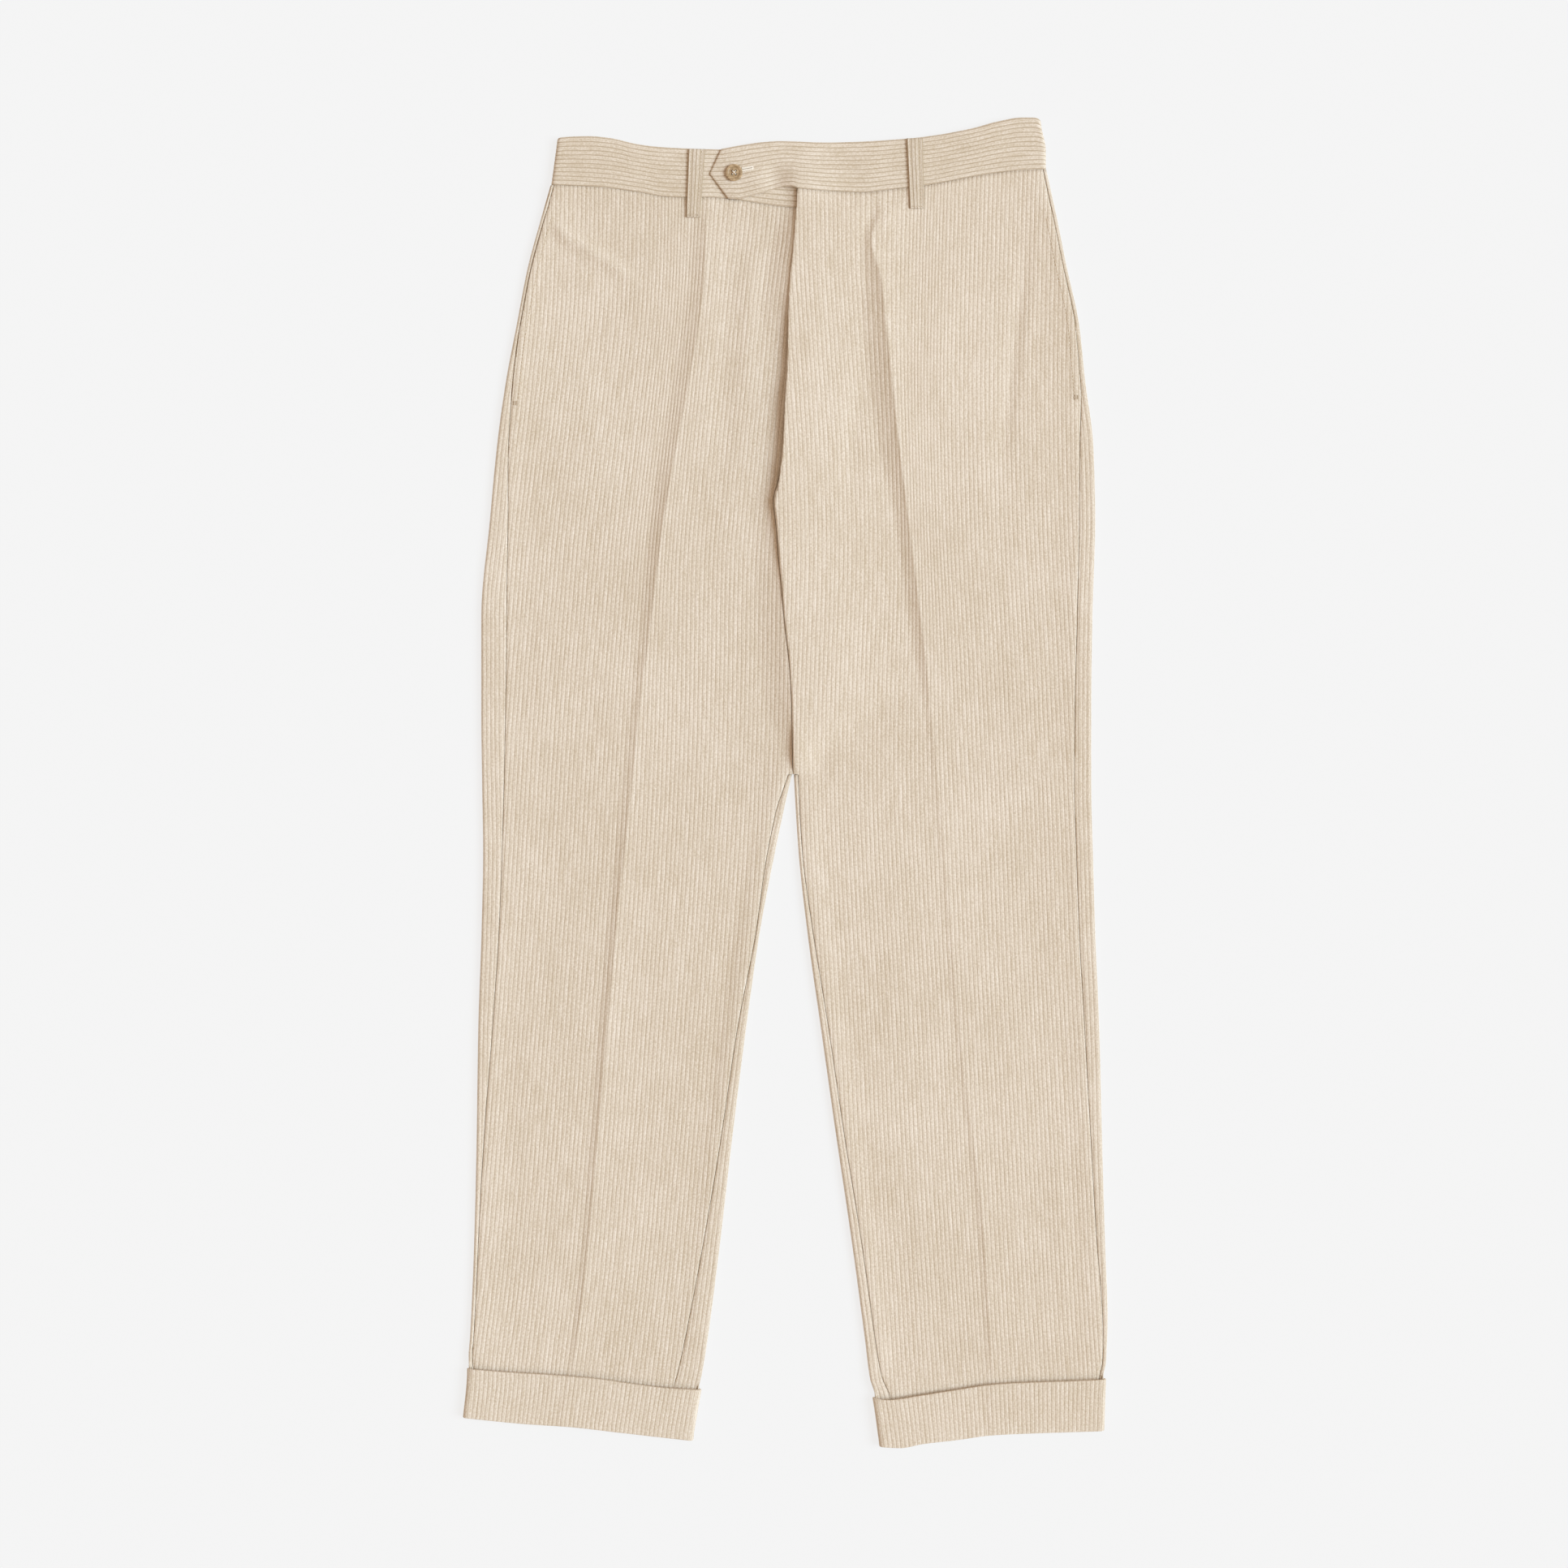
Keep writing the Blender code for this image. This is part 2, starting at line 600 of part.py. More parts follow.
# Belt loops, from the waistband's top edge down to the front panel.
LOOP_COLUMNS = ("half", "top_x", "top_y", "foot_x", "foot_y", "top_width", "foot_width")
LOOPS = (
    (RIGHT, -75.2, 539.6, -78.3, 482.0, 13.2, 11.0),
    (LEFT, 110.0, 548.4, 112.1, 489.6, 12.6, 11.2),
)
LOOP_RAMP_START = 2.0
LOOP_RAMP_LENGTH = 8.0


def make_loop(half, top_x, top_y, foot_x, foot_y, top_width, foot_width, collection):
    """A folded strip that lies on the waistband and comes down to the panel just below it."""
    rows = []
    steps = 12
    for i in range(steps + 1):
        t = i / steps
        centre = top_x + (foot_x - top_x) * t
        width = top_width + (foot_width - top_width) * t
        y = top_y + (foot_y - top_y) * t
        below = half.waist(centre) - LOOP_RAMP_START - y
        down = smoothstep(0.0, LOOP_RAMP_LENGTH, below)
        row = []
        for side in (-0.5, -0.17, 0.17, 0.5):
            x = centre + width * side
            on_band = band_height(half, x)
            on_panel = half.height(x, min(y, half.waist(x) - 1.0))
            row.append((x, y, on_band + (on_panel - on_band) * down + SEAM_GAP))
        rows.append(row)
    sheet(f"belt_loop_{half.name}", rows, collection, CLOTH_COLOUR, LOOP_CLOTH, outward=True, round_edge=0.5)


def make_button(collection, cutters):
    """A turned disc with a dished middle and four holes, standing just clear of the tab."""
    base = TAB_TOP + SEAM_GAP
    top = base + BUTTON_THICKNESS
    profile = ((0.0, top - BUTTON_DISH_DEPTH), (BUTTON_DISH_RADIUS - 0.6, top - BUTTON_DISH_DEPTH),
               (BUTTON_DISH_RADIUS, top - 0.5 * BUTTON_DISH_DEPTH), (BUTTON_DISH_RADIUS + 0.5, top),
               (BUTTON_RADIUS - 0.7, top - 0.1), (BUTTON_RADIUS - 0.15, top - 0.6), (BUTTON_RADIUS, top - 1.2),
               (BUTTON_RADIUS - 0.3, base + 0.5), (BUTTON_RADIUS - 1.2, base), (0.0, base))
    bm = bmesh.new()
    verts = [bm.verts.new((r * MM, 0.0, z * MM)) for r, z in profile]
    for a, b in zip(verts, verts[1:]):
        bm.edges.new((a, b))
    mesh = bpy.data.meshes.new("button")
    bm.to_mesh(mesh)
    bm.free()
    button = bpy.data.objects.new("button", mesh)
    button.location = (BUTTON_CENTRE[0] * MM, BUTTON_CENTRE[1] * MM, 0.0)
    collection.objects.link(button)
    mesh.materials.append(surface("button", BUTTON_COLOUR, 0.4))
    turned = button.modifiers.new("turned", "SCREW")
    turned.steps = turned.render_steps = 32
    turned.use_merge_vertices = True
    turned.merge_threshold = 0.00001
    for i in range(4):
        x, y = button_hole(i)
        bpy.ops.mesh.primitive_cylinder_add(vertices=12, radius=BUTTON_HOLE_RADIUS * MM, depth=0.02,
                                            location=(x * MM, y * MM, base * MM))
        cutter = bpy.context.object
        cutter.name = f"button_hole_{i}"
        cutter.hide_render = True
        cutter.display_type = "WIRE"
        for other in list(cutter.users_collection):
            other.objects.unlink(cutter)
        cutters.objects.link(cutter)
        hole = button.modifiers.new(f"hole {i}", "BOOLEAN")
        hole.operation = "DIFFERENCE"
        hole.solver = "EXACT"
        hole.object = cutter
    return top


def button_hole(index):
    """The centre of one of the button's four holes."""
    angle = math.radians(45.0 + 90.0 * index)
    return (BUTTON_CENTRE[0] + BUTTON_HOLE_REACH * math.cos(angle),
            BUTTON_CENTRE[1] + BUTTON_HOLE_REACH * math.sin(angle))


def make_thread(name, start, end, crown, collection):
    """A thread from one hole over the button to the opposite hole; crown is its height there."""
    low = TAB_TOP + 2.0 * SEAM_GAP
    dish = TAB_TOP + SEAM_GAP + BUTTON_THICKNESS - BUTTON_DISH_DEPTH
    (x0, y0), (x1, y1) = button_hole(start), button_hole(end)
    profile = ((0.0, low), (0.0, dish - 0.2), (0.03, dish + 0.5), (0.14, crown - 0.12), (0.32, crown), (0.5, crown),
               (0.68, crown), (0.86, crown - 0.12), (0.97, dish + 0.5), (1.0, dish - 0.2), (1.0, low))
    path = bpy.data.curves.new(name, "CURVE")
    path.dimensions = "3D"
    path.bevel_depth = THREAD_RADIUS * MM
    path.bevel_resolution = 1
    path.use_fill_caps = True
    spline = path.splines.new("POLY")
    spline.points.add(len(profile) - 1)
    for point, (t, z) in zip(spline.points, profile):
        point.co = ((x0 + (x1 - x0) * t) * MM, (y0 + (y1 - y0) * t) * MM, z * MM, 1.0)
    thread = bpy.data.objects.new(name, path)
    collection.objects.link(thread)
    path.materials.append(surface(name, THREAD_COLOUR, 0.7))


def main():
    collection, cutters = set_scene()
    for half in (RIGHT, LEFT):
        make_front(half, collection)
        make_back(half, collection)
        make_band(half, collection)
        make_cuff(half, collection)
    for row in LOOPS:
        make_loop(*row, collection)
    button_top = make_button(collection, cutters)
    crown = button_top - BUTTON_DISH_DEPTH + 2.0 * THREAD_RADIUS + 0.1
    make_thread("button_thread_low", 0, 2, crown, collection)
    make_thread("button_thread_high", 1, 3, crown + 2.0 * THREAD_RADIUS + SEAM_GAP, collection)


main()
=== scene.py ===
"""Corded cotton trousers with turn-ups, laid flat: the cloth, the sewing and the light.

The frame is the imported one: metres, +Z up out of the cloth, +Y towards the waist, +X towards the
wearer's left, the origin on the floor. Tables and lengths here are in millimetres, and put_mesh()
turns them into metres. "right" is the wearer's right, at -X.
"""

import math

import bpy
import numpy as np
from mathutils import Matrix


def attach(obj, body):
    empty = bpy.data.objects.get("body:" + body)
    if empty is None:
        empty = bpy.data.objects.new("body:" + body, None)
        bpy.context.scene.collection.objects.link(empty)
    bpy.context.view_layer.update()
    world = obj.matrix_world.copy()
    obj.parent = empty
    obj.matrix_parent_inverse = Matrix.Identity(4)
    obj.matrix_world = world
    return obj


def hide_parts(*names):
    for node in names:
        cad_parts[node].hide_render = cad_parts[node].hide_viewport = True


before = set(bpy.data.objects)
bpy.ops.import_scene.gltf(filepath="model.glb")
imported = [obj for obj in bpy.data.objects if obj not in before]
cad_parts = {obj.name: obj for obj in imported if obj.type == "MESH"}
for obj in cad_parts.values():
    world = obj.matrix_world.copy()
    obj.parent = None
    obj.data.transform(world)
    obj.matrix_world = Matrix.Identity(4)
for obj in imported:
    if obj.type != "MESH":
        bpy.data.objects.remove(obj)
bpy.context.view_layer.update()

MM = 0.001
# Points that agree in this many steps to the mm are one point.
MERGE_STEPS = 10000.0

# Gaps between the pieces, and how thick the cloth is.
SEAM_GAP = 0.3
SEWN_GAP = 0.02
WAIST_GAP = 0.14
CLOTH = 1.5
BAND_CLOTH = 3.0
CUFF_CLOTH = 2.4
LOOP_CLOTH = 1.8

# The cords: ridges a pitch apart with a narrow groove between them, a point at each of these
# shares of the pitch, and a fade beside the edges of a piece.
CORD_PITCH = 3.62
CORD_HEIGHT = 0.36
CORD_STOPS = np.array((0.0, 0.2, 0.5, 0.8))
CORD_FADE = 2.2
# A section's points less deep than this are on its outer face, which carries the relief.
FACE = 0.01

# The legs lie as flattened tubes: their outer surface above the floor, at the folds and between.
FOLD_RADIUS = 2.7
MIDDLE_TOP = 4.6
FOLD_SHOULDER = 20.0
# A pressed fold is flatter than round: its reach to the side, as a share of its radius.
FOLD_BULGE = 0.45
# The inner fold fades out over this height above the crotch.
INNER_FOLD_FADE = 40.0
# The soft swelling beside a fold: rise, distance in from the fold, width.
SIDE_SWELLING = (0.5, 16.0, 10.0)
INNER_SWELLING = (0.6, 13.0, 9.0)

# The turn-ups, the legs' folds inside them and the crease's share that shows through.
CUFF_HEIGHT = 42.0
CUFF_LIFT = CUFF_CLOTH + SEAM_GAP
CUFFED_RADIUS = 2.0
CUFF_FOLD_IN = 1.1
CUFFED_CREASE = 0.35
# The turn-up's top edge stands off the leg: rise, and width as a share of its height.
CUFF_LIP = (0.9, 0.14)

# Grooves pressed into the cloth: depth, width.
CUFF_PRESS = ((1.3, 1.6), (0.7, 5.0))
SEAM_GROOVE = (0.55, 1.1)
MOUTH_EDGE = (0.2, 0.7)
POCKET_GROOVE = (0.22, 0.8)
FRONT_EDGE = (0.35, 0.7)
LOOP_GROOVE = (0.4, 0.7)
LOOP_FOOT_GROOVE = (0.5, 0.8)

# The pressed crease: its sharp edge's rise, its steep side's power, and where it fades, in mm
# from the fly, on the right half.
CREASE_EDGE = 0.2
CREASE_POWER = 1.4
CREASE_FADE = (4.0, 42.0)

# Levels, as y.
WAIST = 505.0
CROTCH = 7.0
CUFF_TOP = -508.0
HEM = -550.0
CENTRE_BACK = 6.5
CROTCH_STEP = 0.2
CROTCH_CLEARANCE = 0.15

# The fly: where its opening ends, how far the right front runs on under it, how wide the left
# front's fall away from it is, there and at the crotch, and how the right front climbs and sinks.
FLY_END = 256.0
UNDERLAP = 25.0
UNDERLAP_TAPER = 70.0
FLY_FALL_WIDTH = 104.0
CROTCH_FALL_WIDTH = 20.0
CROTCH_FALL_TAPER = 90.0
FLY_POWER = 1.5
FLY_SINK = 0.7
FLY_SINK_START = -2.5

# The side pockets' mouths, and their free edges with a stitched row.
POCKET_TOP = 484.0
POCKET_END = 322.0
POCKET_RISE = 0.6
POCKET_EDGE_WIDTH = 7.0
POCKET_STITCH_IN = 6.0

# The waistband: its side folds, its outer surface's height, and the fronts' ramp up to it.
BAND_FOLD_RADIUS = 4.0
BAND_TOP = 8.0
UNDER_TAB_TOP = 6.6
TAB_TOP = UNDER_TAB_TOP + SEAM_GAP + BAND_CLOTH
BAND_WIDTH = 41.5
BAND_FIRST_CORD = 0.6
# The band's side folds: x at its upper and its lower edge.
BAND_RIGHT_SIDE = (-193.6, -199.0)
BAND_LEFT_SIDE = (217.6, 221.8)
# Its front ends: x at the upper edge, half way down, where the tab has its point, and below.
UNDER_TAB_END = (11.0, 11.0, 11.0)
TAB_END = (-54.2, -64.2, -48.4)
SEAM_EDGE = 0.25
WAIST_RAMP = 24.0
# The right band sinks under the tab: from x, to x, share.
BAND_SINKS = ((-125.0, -85.0, 0.4), (-66.0, -50.0, 0.6))
# The tab's lower edge stands up beside the fly, and the right band's edge less. Both lifts start
# at the first y and are full at the second.
TAB_LIFT = 3.3
UNDER_TAB_LIFT = 0.72 * TAB_LIFT
LIFT_SPAN = (534.0, 508.0)
# The tab is pressed thinner towards its end: least share of its thickness, reach.
TAB_POINT_PRESS = (0.6, 10.0)
BUTTONHOLE_END = (-28.6, 522.0)

# Sections of each half: y, side fold, how far in from it the side seam lies.
RIGHT_SECTIONS = (
    (510, -199.2, 3.2), (479, -208.0, 3.2), (438, -219.1, 3.2), (390, -228.4, 3.4),
    (341, -237.7, 6.2), (286, -245.3, 9.9), (224, -251.2, 15.4), (141, -258.6, 21.6),
    (58, -258.6, 20.6), (-4, -257.8, 18.5), (-59, -257.0, 16.2), (-128, -258.4, 14.8),
    (-211, -261.2, 12.0), (-300, -262.5, 6.4), (-390, -264.6, 3.6), (-473, -268.2, 3.2),
    (-486, -269.2, 3.2), (-495, -269.0, 3.2), (-500, -267.9, 3.2), (-545, -272.0, 3.2),
)
LEFT_SECTIONS = (
    (524, 221.7, 3.2), (479, 231.5, 3.2), (438, 239.8, 3.2), (390, 250.1, 3.6),
    (341, 255.4, 4.4), (286, 262.3, 11.8), (224, 263.9, 13.8), (141, 261.5, 13.2),
    (58, 260.5, 14.2), (-4, 260.5, 14.6), (-59, 261.9, 14.3), (-128, 263.9, 13.8),
    (-211, 267.4, 12.6), (-300, 269.6, 9.8), (-390, 272.2, 7.2), (-455, 274.4, 4.4),
    (-494, 272.8, 3.2), (-504, 270.6, 3.2), (-550, 268.8, 3.2),
)
# Below the crotch: y, inner fold, how far in from it the inseam lies.
RIGHT_INSEAM = (
    (7, 5.8, 3.2), (-4, 3.1, 4.2), (-25, -1.5, 6.6), (-59, -8.6, 6.4), (-128, -21.7, 3.4),
    (-211, -33.5, 7.4), (-300, -44.7, 9.6), (-390, -55.2, 14.2), (-473, -65.9, 19.3),
    (-502, -70.6, 21.0), (-513, -73.2, 21.5), (-555, -80.6, 22.0),
)
LEFT_INSEAM = (
    (7, 7.3, 3.6), (-4, 7.9, 3.4), (-59, 11.4, 3.2), (-128, 19.0, 4.8), (-211, 30.7, 6.5),
    (-300, 43.3, 7.0), (-390, 56.6, 8.2), (-473, 67.8, 8.6), (-507, 72.2, 10.5),
    (-519, 76.0, 12.0), (-562, 82.6, 14.0),
)
# The edge of the left front: y, x.
FLY_LINE = (
    (507, 10.6), (458, 6.9), (422, 3.5), (385, 2.2), (358, 1.8), (333, 0.3), (313, -0.8),
    (286, -1.9), (268, -3.9), (258, -5.2), (251, -7.4), (243, -9.9), (236, -9.8), (224, -8.4),
    (209, -6.9), (194, -5.9), (166, -3.2), (136, -0.6), (100, 3.5), (65, 5.4), (7, 6.6),
)
# The fly's relief: y, how far the right front climbs towards it, how high the left front's edge
# stands over the right front there, and how wide the climb is.
FLY_RELIEF = (
    (507, 4.6, 1.6, 20),
    (470, 5.8, 1.6, 18),
    (430, 5.6, 1.8, 22),
    (400, 3.8, 3.9, 24),
    (375, 2.0, 5.6, 18),
    (350, 1.4, 6.4, 16),
    (325, 1.5, 7.9, 15),
    (258, 1.5, 7.9, 15),
    (225, 2.8, 5.6, 22),
    (195, 3.6, 4.0, 22),
    (155, 4.6, 1.6, 24),
    (110, 5.2, 0.9, 26),
    (60, 5.2, 0.9, 22),
    (38, 2.4, 3.6, 14),
    (18, 0.8, 4.6, 12),
    (7, 0.6, 0.6, 12),
)
# Edges of the waistband and the turn-ups: x, y.
BAND_RIGHT_TOP = ((-199, 547.6), (-186, 549.0), (-167, 549.6), (-150, 548.2), (-125, 542.7),
                  (-108, 540.6), (-82, 539.2), (-54, 538.5), (-18, 541.0), (12, 541.5))
BAND_RIGHT_BOTTOM = ((-199, 508.2), (-158, 506.1), (-125, 502.0), (-102, 498.0), (-84, 497.4),
                     (-66, 497.6), (-50, 496.6), (-16, 491.6), (10, 488.2))
BAND_LEFT_TOP = ((-54, 538.5), (-35, 542.0), (-18, 544.3), (-4, 545.1), (30, 544.1), (60, 544.8),
                 (103, 547.5), (125, 550.0), (160, 556.5), (180, 562.0), (202, 565.5),
                 (211, 565.5), (222, 562.0))
BAND_LEFT_BOTTOM = ((-49, 496.2), (-40, 495.8), (-31, 497.8), (-20, 500.6), (-7, 504.7),
                    (0, 506.1), (6, 506.1), (12, 504.2), (51, 502.0), (65, 501.6), (92, 504.4),
                    (119, 507.5), (160, 515.1), (194, 519.9), (222, 521.6))
BAND_BACK_TOP = ((-199, 547.0), (-186, 548.0), (-150, 547.0), (-125, 541.8), (-82, 538.2),
                 (-54, 537.5), (0, 541.5), (60, 543.8), (125, 549.0), (160, 555.5), (180, 561.0),
                 (202, 563.8), (222, 561.0))
BAND_BACK_BOTTOM = ((-199, 508.2), (-110, 503.0), (6, 502.0), (110, 507.0), (222, 521.6))
CUFF_RIGHT_TOP = ((-271, -497.8), (-236, -500.6), (-191, -503.4), (-161, -506.1), (-131, -510.3),
                  (-104, -513.7), (-71, -515.8))
CUFF_RIGHT_BOTTOM = ((-272, -540.0), (-220, -545.1), (-183, -547.5), (-146, -551.7),
                     (-104, -556.5), (-80, -559.2))
CUFF_LEFT_TOP = ((73, -522.3), (87, -524.2), (114, -520.6), (146, -515.5), (178, -510.9),
                 (209, -509.2), (241, -508.2), (273, -506.8))
CUFF_LEFT_BOTTOM = ((78, -564.4), (98, -565.4), (117, -562.0), (146, -558.6), (178, -554.4),
                    (209, -553.0), (271, -551.0))

# How the cords lean: y, then their move to +X per mm down on the right front's side half and
# inner half, and on the left front's. The two meet, and pinch a little, along the crease.
CORD_LEANS = (
    (465, -0.020, -0.100, -0.030, 0.010),
    (417, -0.050, -0.093, -0.022, 0.060),
    (369, -0.105, -0.090, -0.015, 0.068),
    (320, -0.115, -0.100, 0.007, 0.066),
    (272, -0.122, -0.090, 0.022, 0.035),
    (224, -0.110, -0.085, 0.030, 0.020),
    (175, -0.080, -0.030, 0.054, -0.022),
    (127, -0.085, -0.010, 0.052, -0.035),
    (79, -0.075, -0.018, 0.042, -0.030),
    (31, -0.062, -0.033, 0.048, -0.008),
    (-18, -0.055, -0.045, 0.044, 0.028),
    (-66, -0.055, -0.058, 0.036, 0.046),
    (-114, -0.066, -0.070, 0.037, 0.051),
    (-163, -0.072, -0.070, 0.047, 0.056),
    (-211, -0.075, -0.073, 0.051, 0.046),
    (-259, -0.074, -0.070, 0.050, 0.042),
    (-307, -0.079, -0.085, 0.047, 0.048),
    (-356, -0.085, -0.084, 0.050, 0.058),
    (-404, -0.093, -0.100, 0.052, 0.066),
    (-452, -0.110, -0.125, 0.060, 0.072),
    (-500, -0.120, -0.130, 0.062, 0.076),
)
# The cords are counted where they run evenly, at this y, and meet over this width.
CALM_LEVEL = -60.0
CORD_MEETING = 32.0

# The pressed creases: y, x of the ridge, rise, width of the steep side towards -X, reach of the
# gentle side towards +X.
RIGHT_CREASE = (
    (505, -68.5, 0.8, 13, 20),
    (479, -67.5, 1.8, 13, 26),
    (438, -68.0, 2.6, 13, 44),
    (390, -73.5, 2.4, 14, 58),
    (341, -82.0, 2.5, 14, 64),
    (286, -92.6, 2.7, 14, 66),
    (224, -103.2, 3.4, 12, 64),
    (160, -111.6, 2.5, 10.5, 56),
    (115, -117.0, 1.9, 9, 46),
    (85, -121.5, 1.6, 9, 36),
    (-4, -130.6, 1.8, 9, 30),
    (-128, -144.0, 2.2, 9, 28),
    (-300, -159.0, 1.8, 8, 26),
    (-390, -167.0, 1.3, 7, 24),
    (-473, -177.1, 1.2, 5, 20),
    (-545, -190.0, 1.1, 5, 18),
)
LEFT_CREASE = (
    (524, 84.0, 0.6, 9, 14),
    (494, 82.5, 1.4, 8, 20),
    (478, 78.0, 2.4, 8, 26),
    (462, 73.2, 2.9, 8, 30),
    (448, 75.2, 3.5, 10, 34),
    (432, 81.0, 4.6, 14, 42),
    (390, 85.6, 6.4, 20, 56),
    (341, 91.0, 6.4, 20, 66),
    (286, 96.8, 6.4, 18, 70),
    (224, 104.6, 3.5, 12, 66),
    (150, 113.9, 3.1, 11, 58),
    (95, 120.4, 2.1, 8, 48),
    (60, 123.6, 0.9, 6, 38),
    (-59, 135.2, 0.5, 5, 30),
    (-211, 148.0, 0.6, 5, 26),
    (-390, 169.6, 1.0, 6, 22),
    (-504, 176.0, 0.9, 6, 18),
)

# Folds pressed or fallen into the fronts, soft ridges, or troughs where the rise is negative:
# x0, y0, x1, y1, rise, width.
FOLDS = (
    (-198, 474, -129, 428, 1.2, 8),
    (-160, 452, -110, 425, -0.6, 14),
    (206, 452, 182, 258, -0.7, 13),
    (-39, 479, -56, 238, -0.8, 12),
    (78, 500, 72, 452, -0.8, 9),
    (71, 390, 54, 238, -0.6, 12),
    (-191, 100, -129, 72, 0.7, 12),
    (-25, -59, -80, -328, -0.5, 11),
)
# Finer ones that only the looks carry.
WRINKLES = (
    (-204, 478, -124, 425, 1.8, 3.4),
    (-206, 478, -176, 456, 0.7, 4),
    (-200, 470, -150, 436, 0.7, 5),
    (-196, 440, -150, 410, 0.4, 9),
    (-213, 380, -206, 300, 0.35, 10),
    (-170, 372, -164, 250, 0.3, 14),
    (-120, 470, -128, 380, 0.35, 14),
    (-28, 450, -34, 330, 0.5, 7),
    (-50, 470, -56, 300, -0.5, 9),
    (-196, 150, -206, 20, 0.35, 16),
    (-228, 40, -222, -130, 0.3, 12),
    (-186, 118, -136, 84, 0.6, 8),
    (-60, 120, -78, -40, 0.35, 15),
    (-96, -90, -112, -260, 0.3, 14),
    (-214, -190, -222, -360, 0.3, 13),
    (-128, -330, -142, -470, 0.3, 12),
    (-2, -20, -40, -250, 1.0, 6),
    (28, 452, 22, 330, 0.3, 10),
    (134, 420, 130, 310, 0.45, 16),
    (206, 455, 184, 262, -0.8, 6),
    (216, 470, 194, 300, 0.7, 8),
    (170, 330, 160, 180, 0.3, 14),
    (60, 330, 54, 236, -0.4, 8),
    (40, 170, 44, -20, 0.35, 14),
    (196, 120, 204, -40, 0.35, 14),
    (226, 40, 232, -200, 0.4, 9),
    (92, -60, 98, -250, 0.3, 14),
    (186, -180, 200, -360, 0.3, 14),
    (112, -330, 122, -480, 0.3, 12),
    (230, -300, 240, -470, 0.45, 8),
    # The puckers where the fly's stitching ends.
    (-5, 267, 5, 260, 0.5, 1.7),
    (-7, 261, 6, 256, -0.45, 1.7),
    (-6, 256, 5, 251, 0.4, 1.7),
    # The fall below the left belt loop.
    (98, 494, 80, 474, 0.8, 5),
)
# Waves in the tab and the band: x0, y0, x1, y1, rise, width.
BAND_WAVES = (
    (-9, 500, -11, 528, -1.3, 6),
    (-22, 500, -30, 528, 0.5, 7),
    (60, 520, 88, 528, 0.4, 12),
    (-160, 528, -120, 520, 0.4, 12),
    (150, 536, 190, 545, 0.4, 14),
)

# How far out from the middle the fronts' cords are counted, and how far round a fold the back's.
CORD_REACH = 400.0
FOLD_REACH = 26.0
# The panels' rows, closest together down to the fly's end and where they meet the turn-ups.
PANEL_LEVELS = np.concatenate((
    np.arange(WAIST, 256.0, -3.6), np.arange(253.0, 12.0, -5.8),
    (CROTCH + CROTCH_STEP, CROTCH - CROTCH_STEP), np.arange(0.0, -485.0, -7.8),
    (-489, -494, -498, -501, -503.5, -505.5, -507.5, -512, -530, -547)))
CROTCH_ROW = int(np.argmin(abs(PANEL_LEVELS - (CROTCH - CROTCH_STEP))))

# Belt loops: top x, top y, foot x, foot y, top width, foot width.
LOOP_RIGHT = (-75.0, 538.2, -78.2, 480.8, 14.2, 11.6)
LOOP_LEFT = (110.0, 547.2, 112.2, 488.2, 13.6, 12.2)
LOOP_LIFT = 0.3
# Where a loop comes down to the front, in mm below the waist seam, and over what length.
LOOP_RAMP_START = 2.0
LOOP_RAMP_LENGTH = 8.0
# The cords across a loop, and how far in from its edges its stitches lie.
LOOP_CORDS = 4.0
LOOP_STITCH_IN = 2.6
LOOP_FOOT_STITCH_IN = 1.6
# Stitches: length, gap, radius.
POCKET_STITCH = (2.3, 0.7, 0.34)
WAIST_STITCH = (1.9, 1.1, 0.3)
LOOP_STITCH = (2.0, 0.7, 0.32)
LOOP_FOOT_STITCH = (1.7, 0.2, 0.35)
TACK_STITCH = (2.2, 0.1, 0.4)
# The bar tack at the foot of each pocket mouth: x, y.
TACK_RIGHT = (-231.5, 322.2)
TACK_LEFT = (250.2, 327.2)


# ---- curves and heights

def smoothstep(low, high, value):
    """0 below low, 1 above high, and the S-curve 3t^2 - 2t^3 between them."""
    t = np.clip((value - low) / (high - low), 0, 1)
    return t * t * (3 - 2 * t)


def bump(distance, width):
    """A soft hill: e to the power of minus the square of distance over width."""
    return np.exp(-(distance / width) ** 2)


def groove(distance, sizes):
    """How deep a pressed groove is at a distance from its middle: its depth times a bump."""
    depth, width = sizes
    return depth * bump(distance, width)


def curve(rows, column=1):
    """A smooth function through one column of a table, against its first.

    Each stretch is a cubic between two rows. Its slope at a row is the harmonic mean of the rises
    on either side, and 0 where they turn, so the curve never overshoots a row.
    """
    table = np.array(sorted(rows), float)
    x, y = table[:, 0], table[:, column]
    rise = np.diff(y) / np.diff(x)
    turning = rise[:-1] * rise[1:] <= 0
    mean = 2 * rise[:-1] * rise[1:] / np.where(turning, 1, rise[:-1] + rise[1:])
    slope = np.concatenate(([rise[0]], np.where(turning, 0, mean), [rise[-1]]))

    def at(value):
        value = np.clip(value, x[0], x[-1])
        i = np.clip(np.searchsorted(x, value) - 1, 0, len(x) - 2)
        step = x[i + 1] - x[i]
        t = (value - x[i]) / step
        start = (1 + 2 * t) * (1 - t) ** 2 * y[i] + t * (1 - t) ** 2 * step * slope[i]
        end = t * t * (3 - 2 * t) * y[i + 1] + t * t * (t - 1) * step * slope[i + 1]
        return start + end

    return at


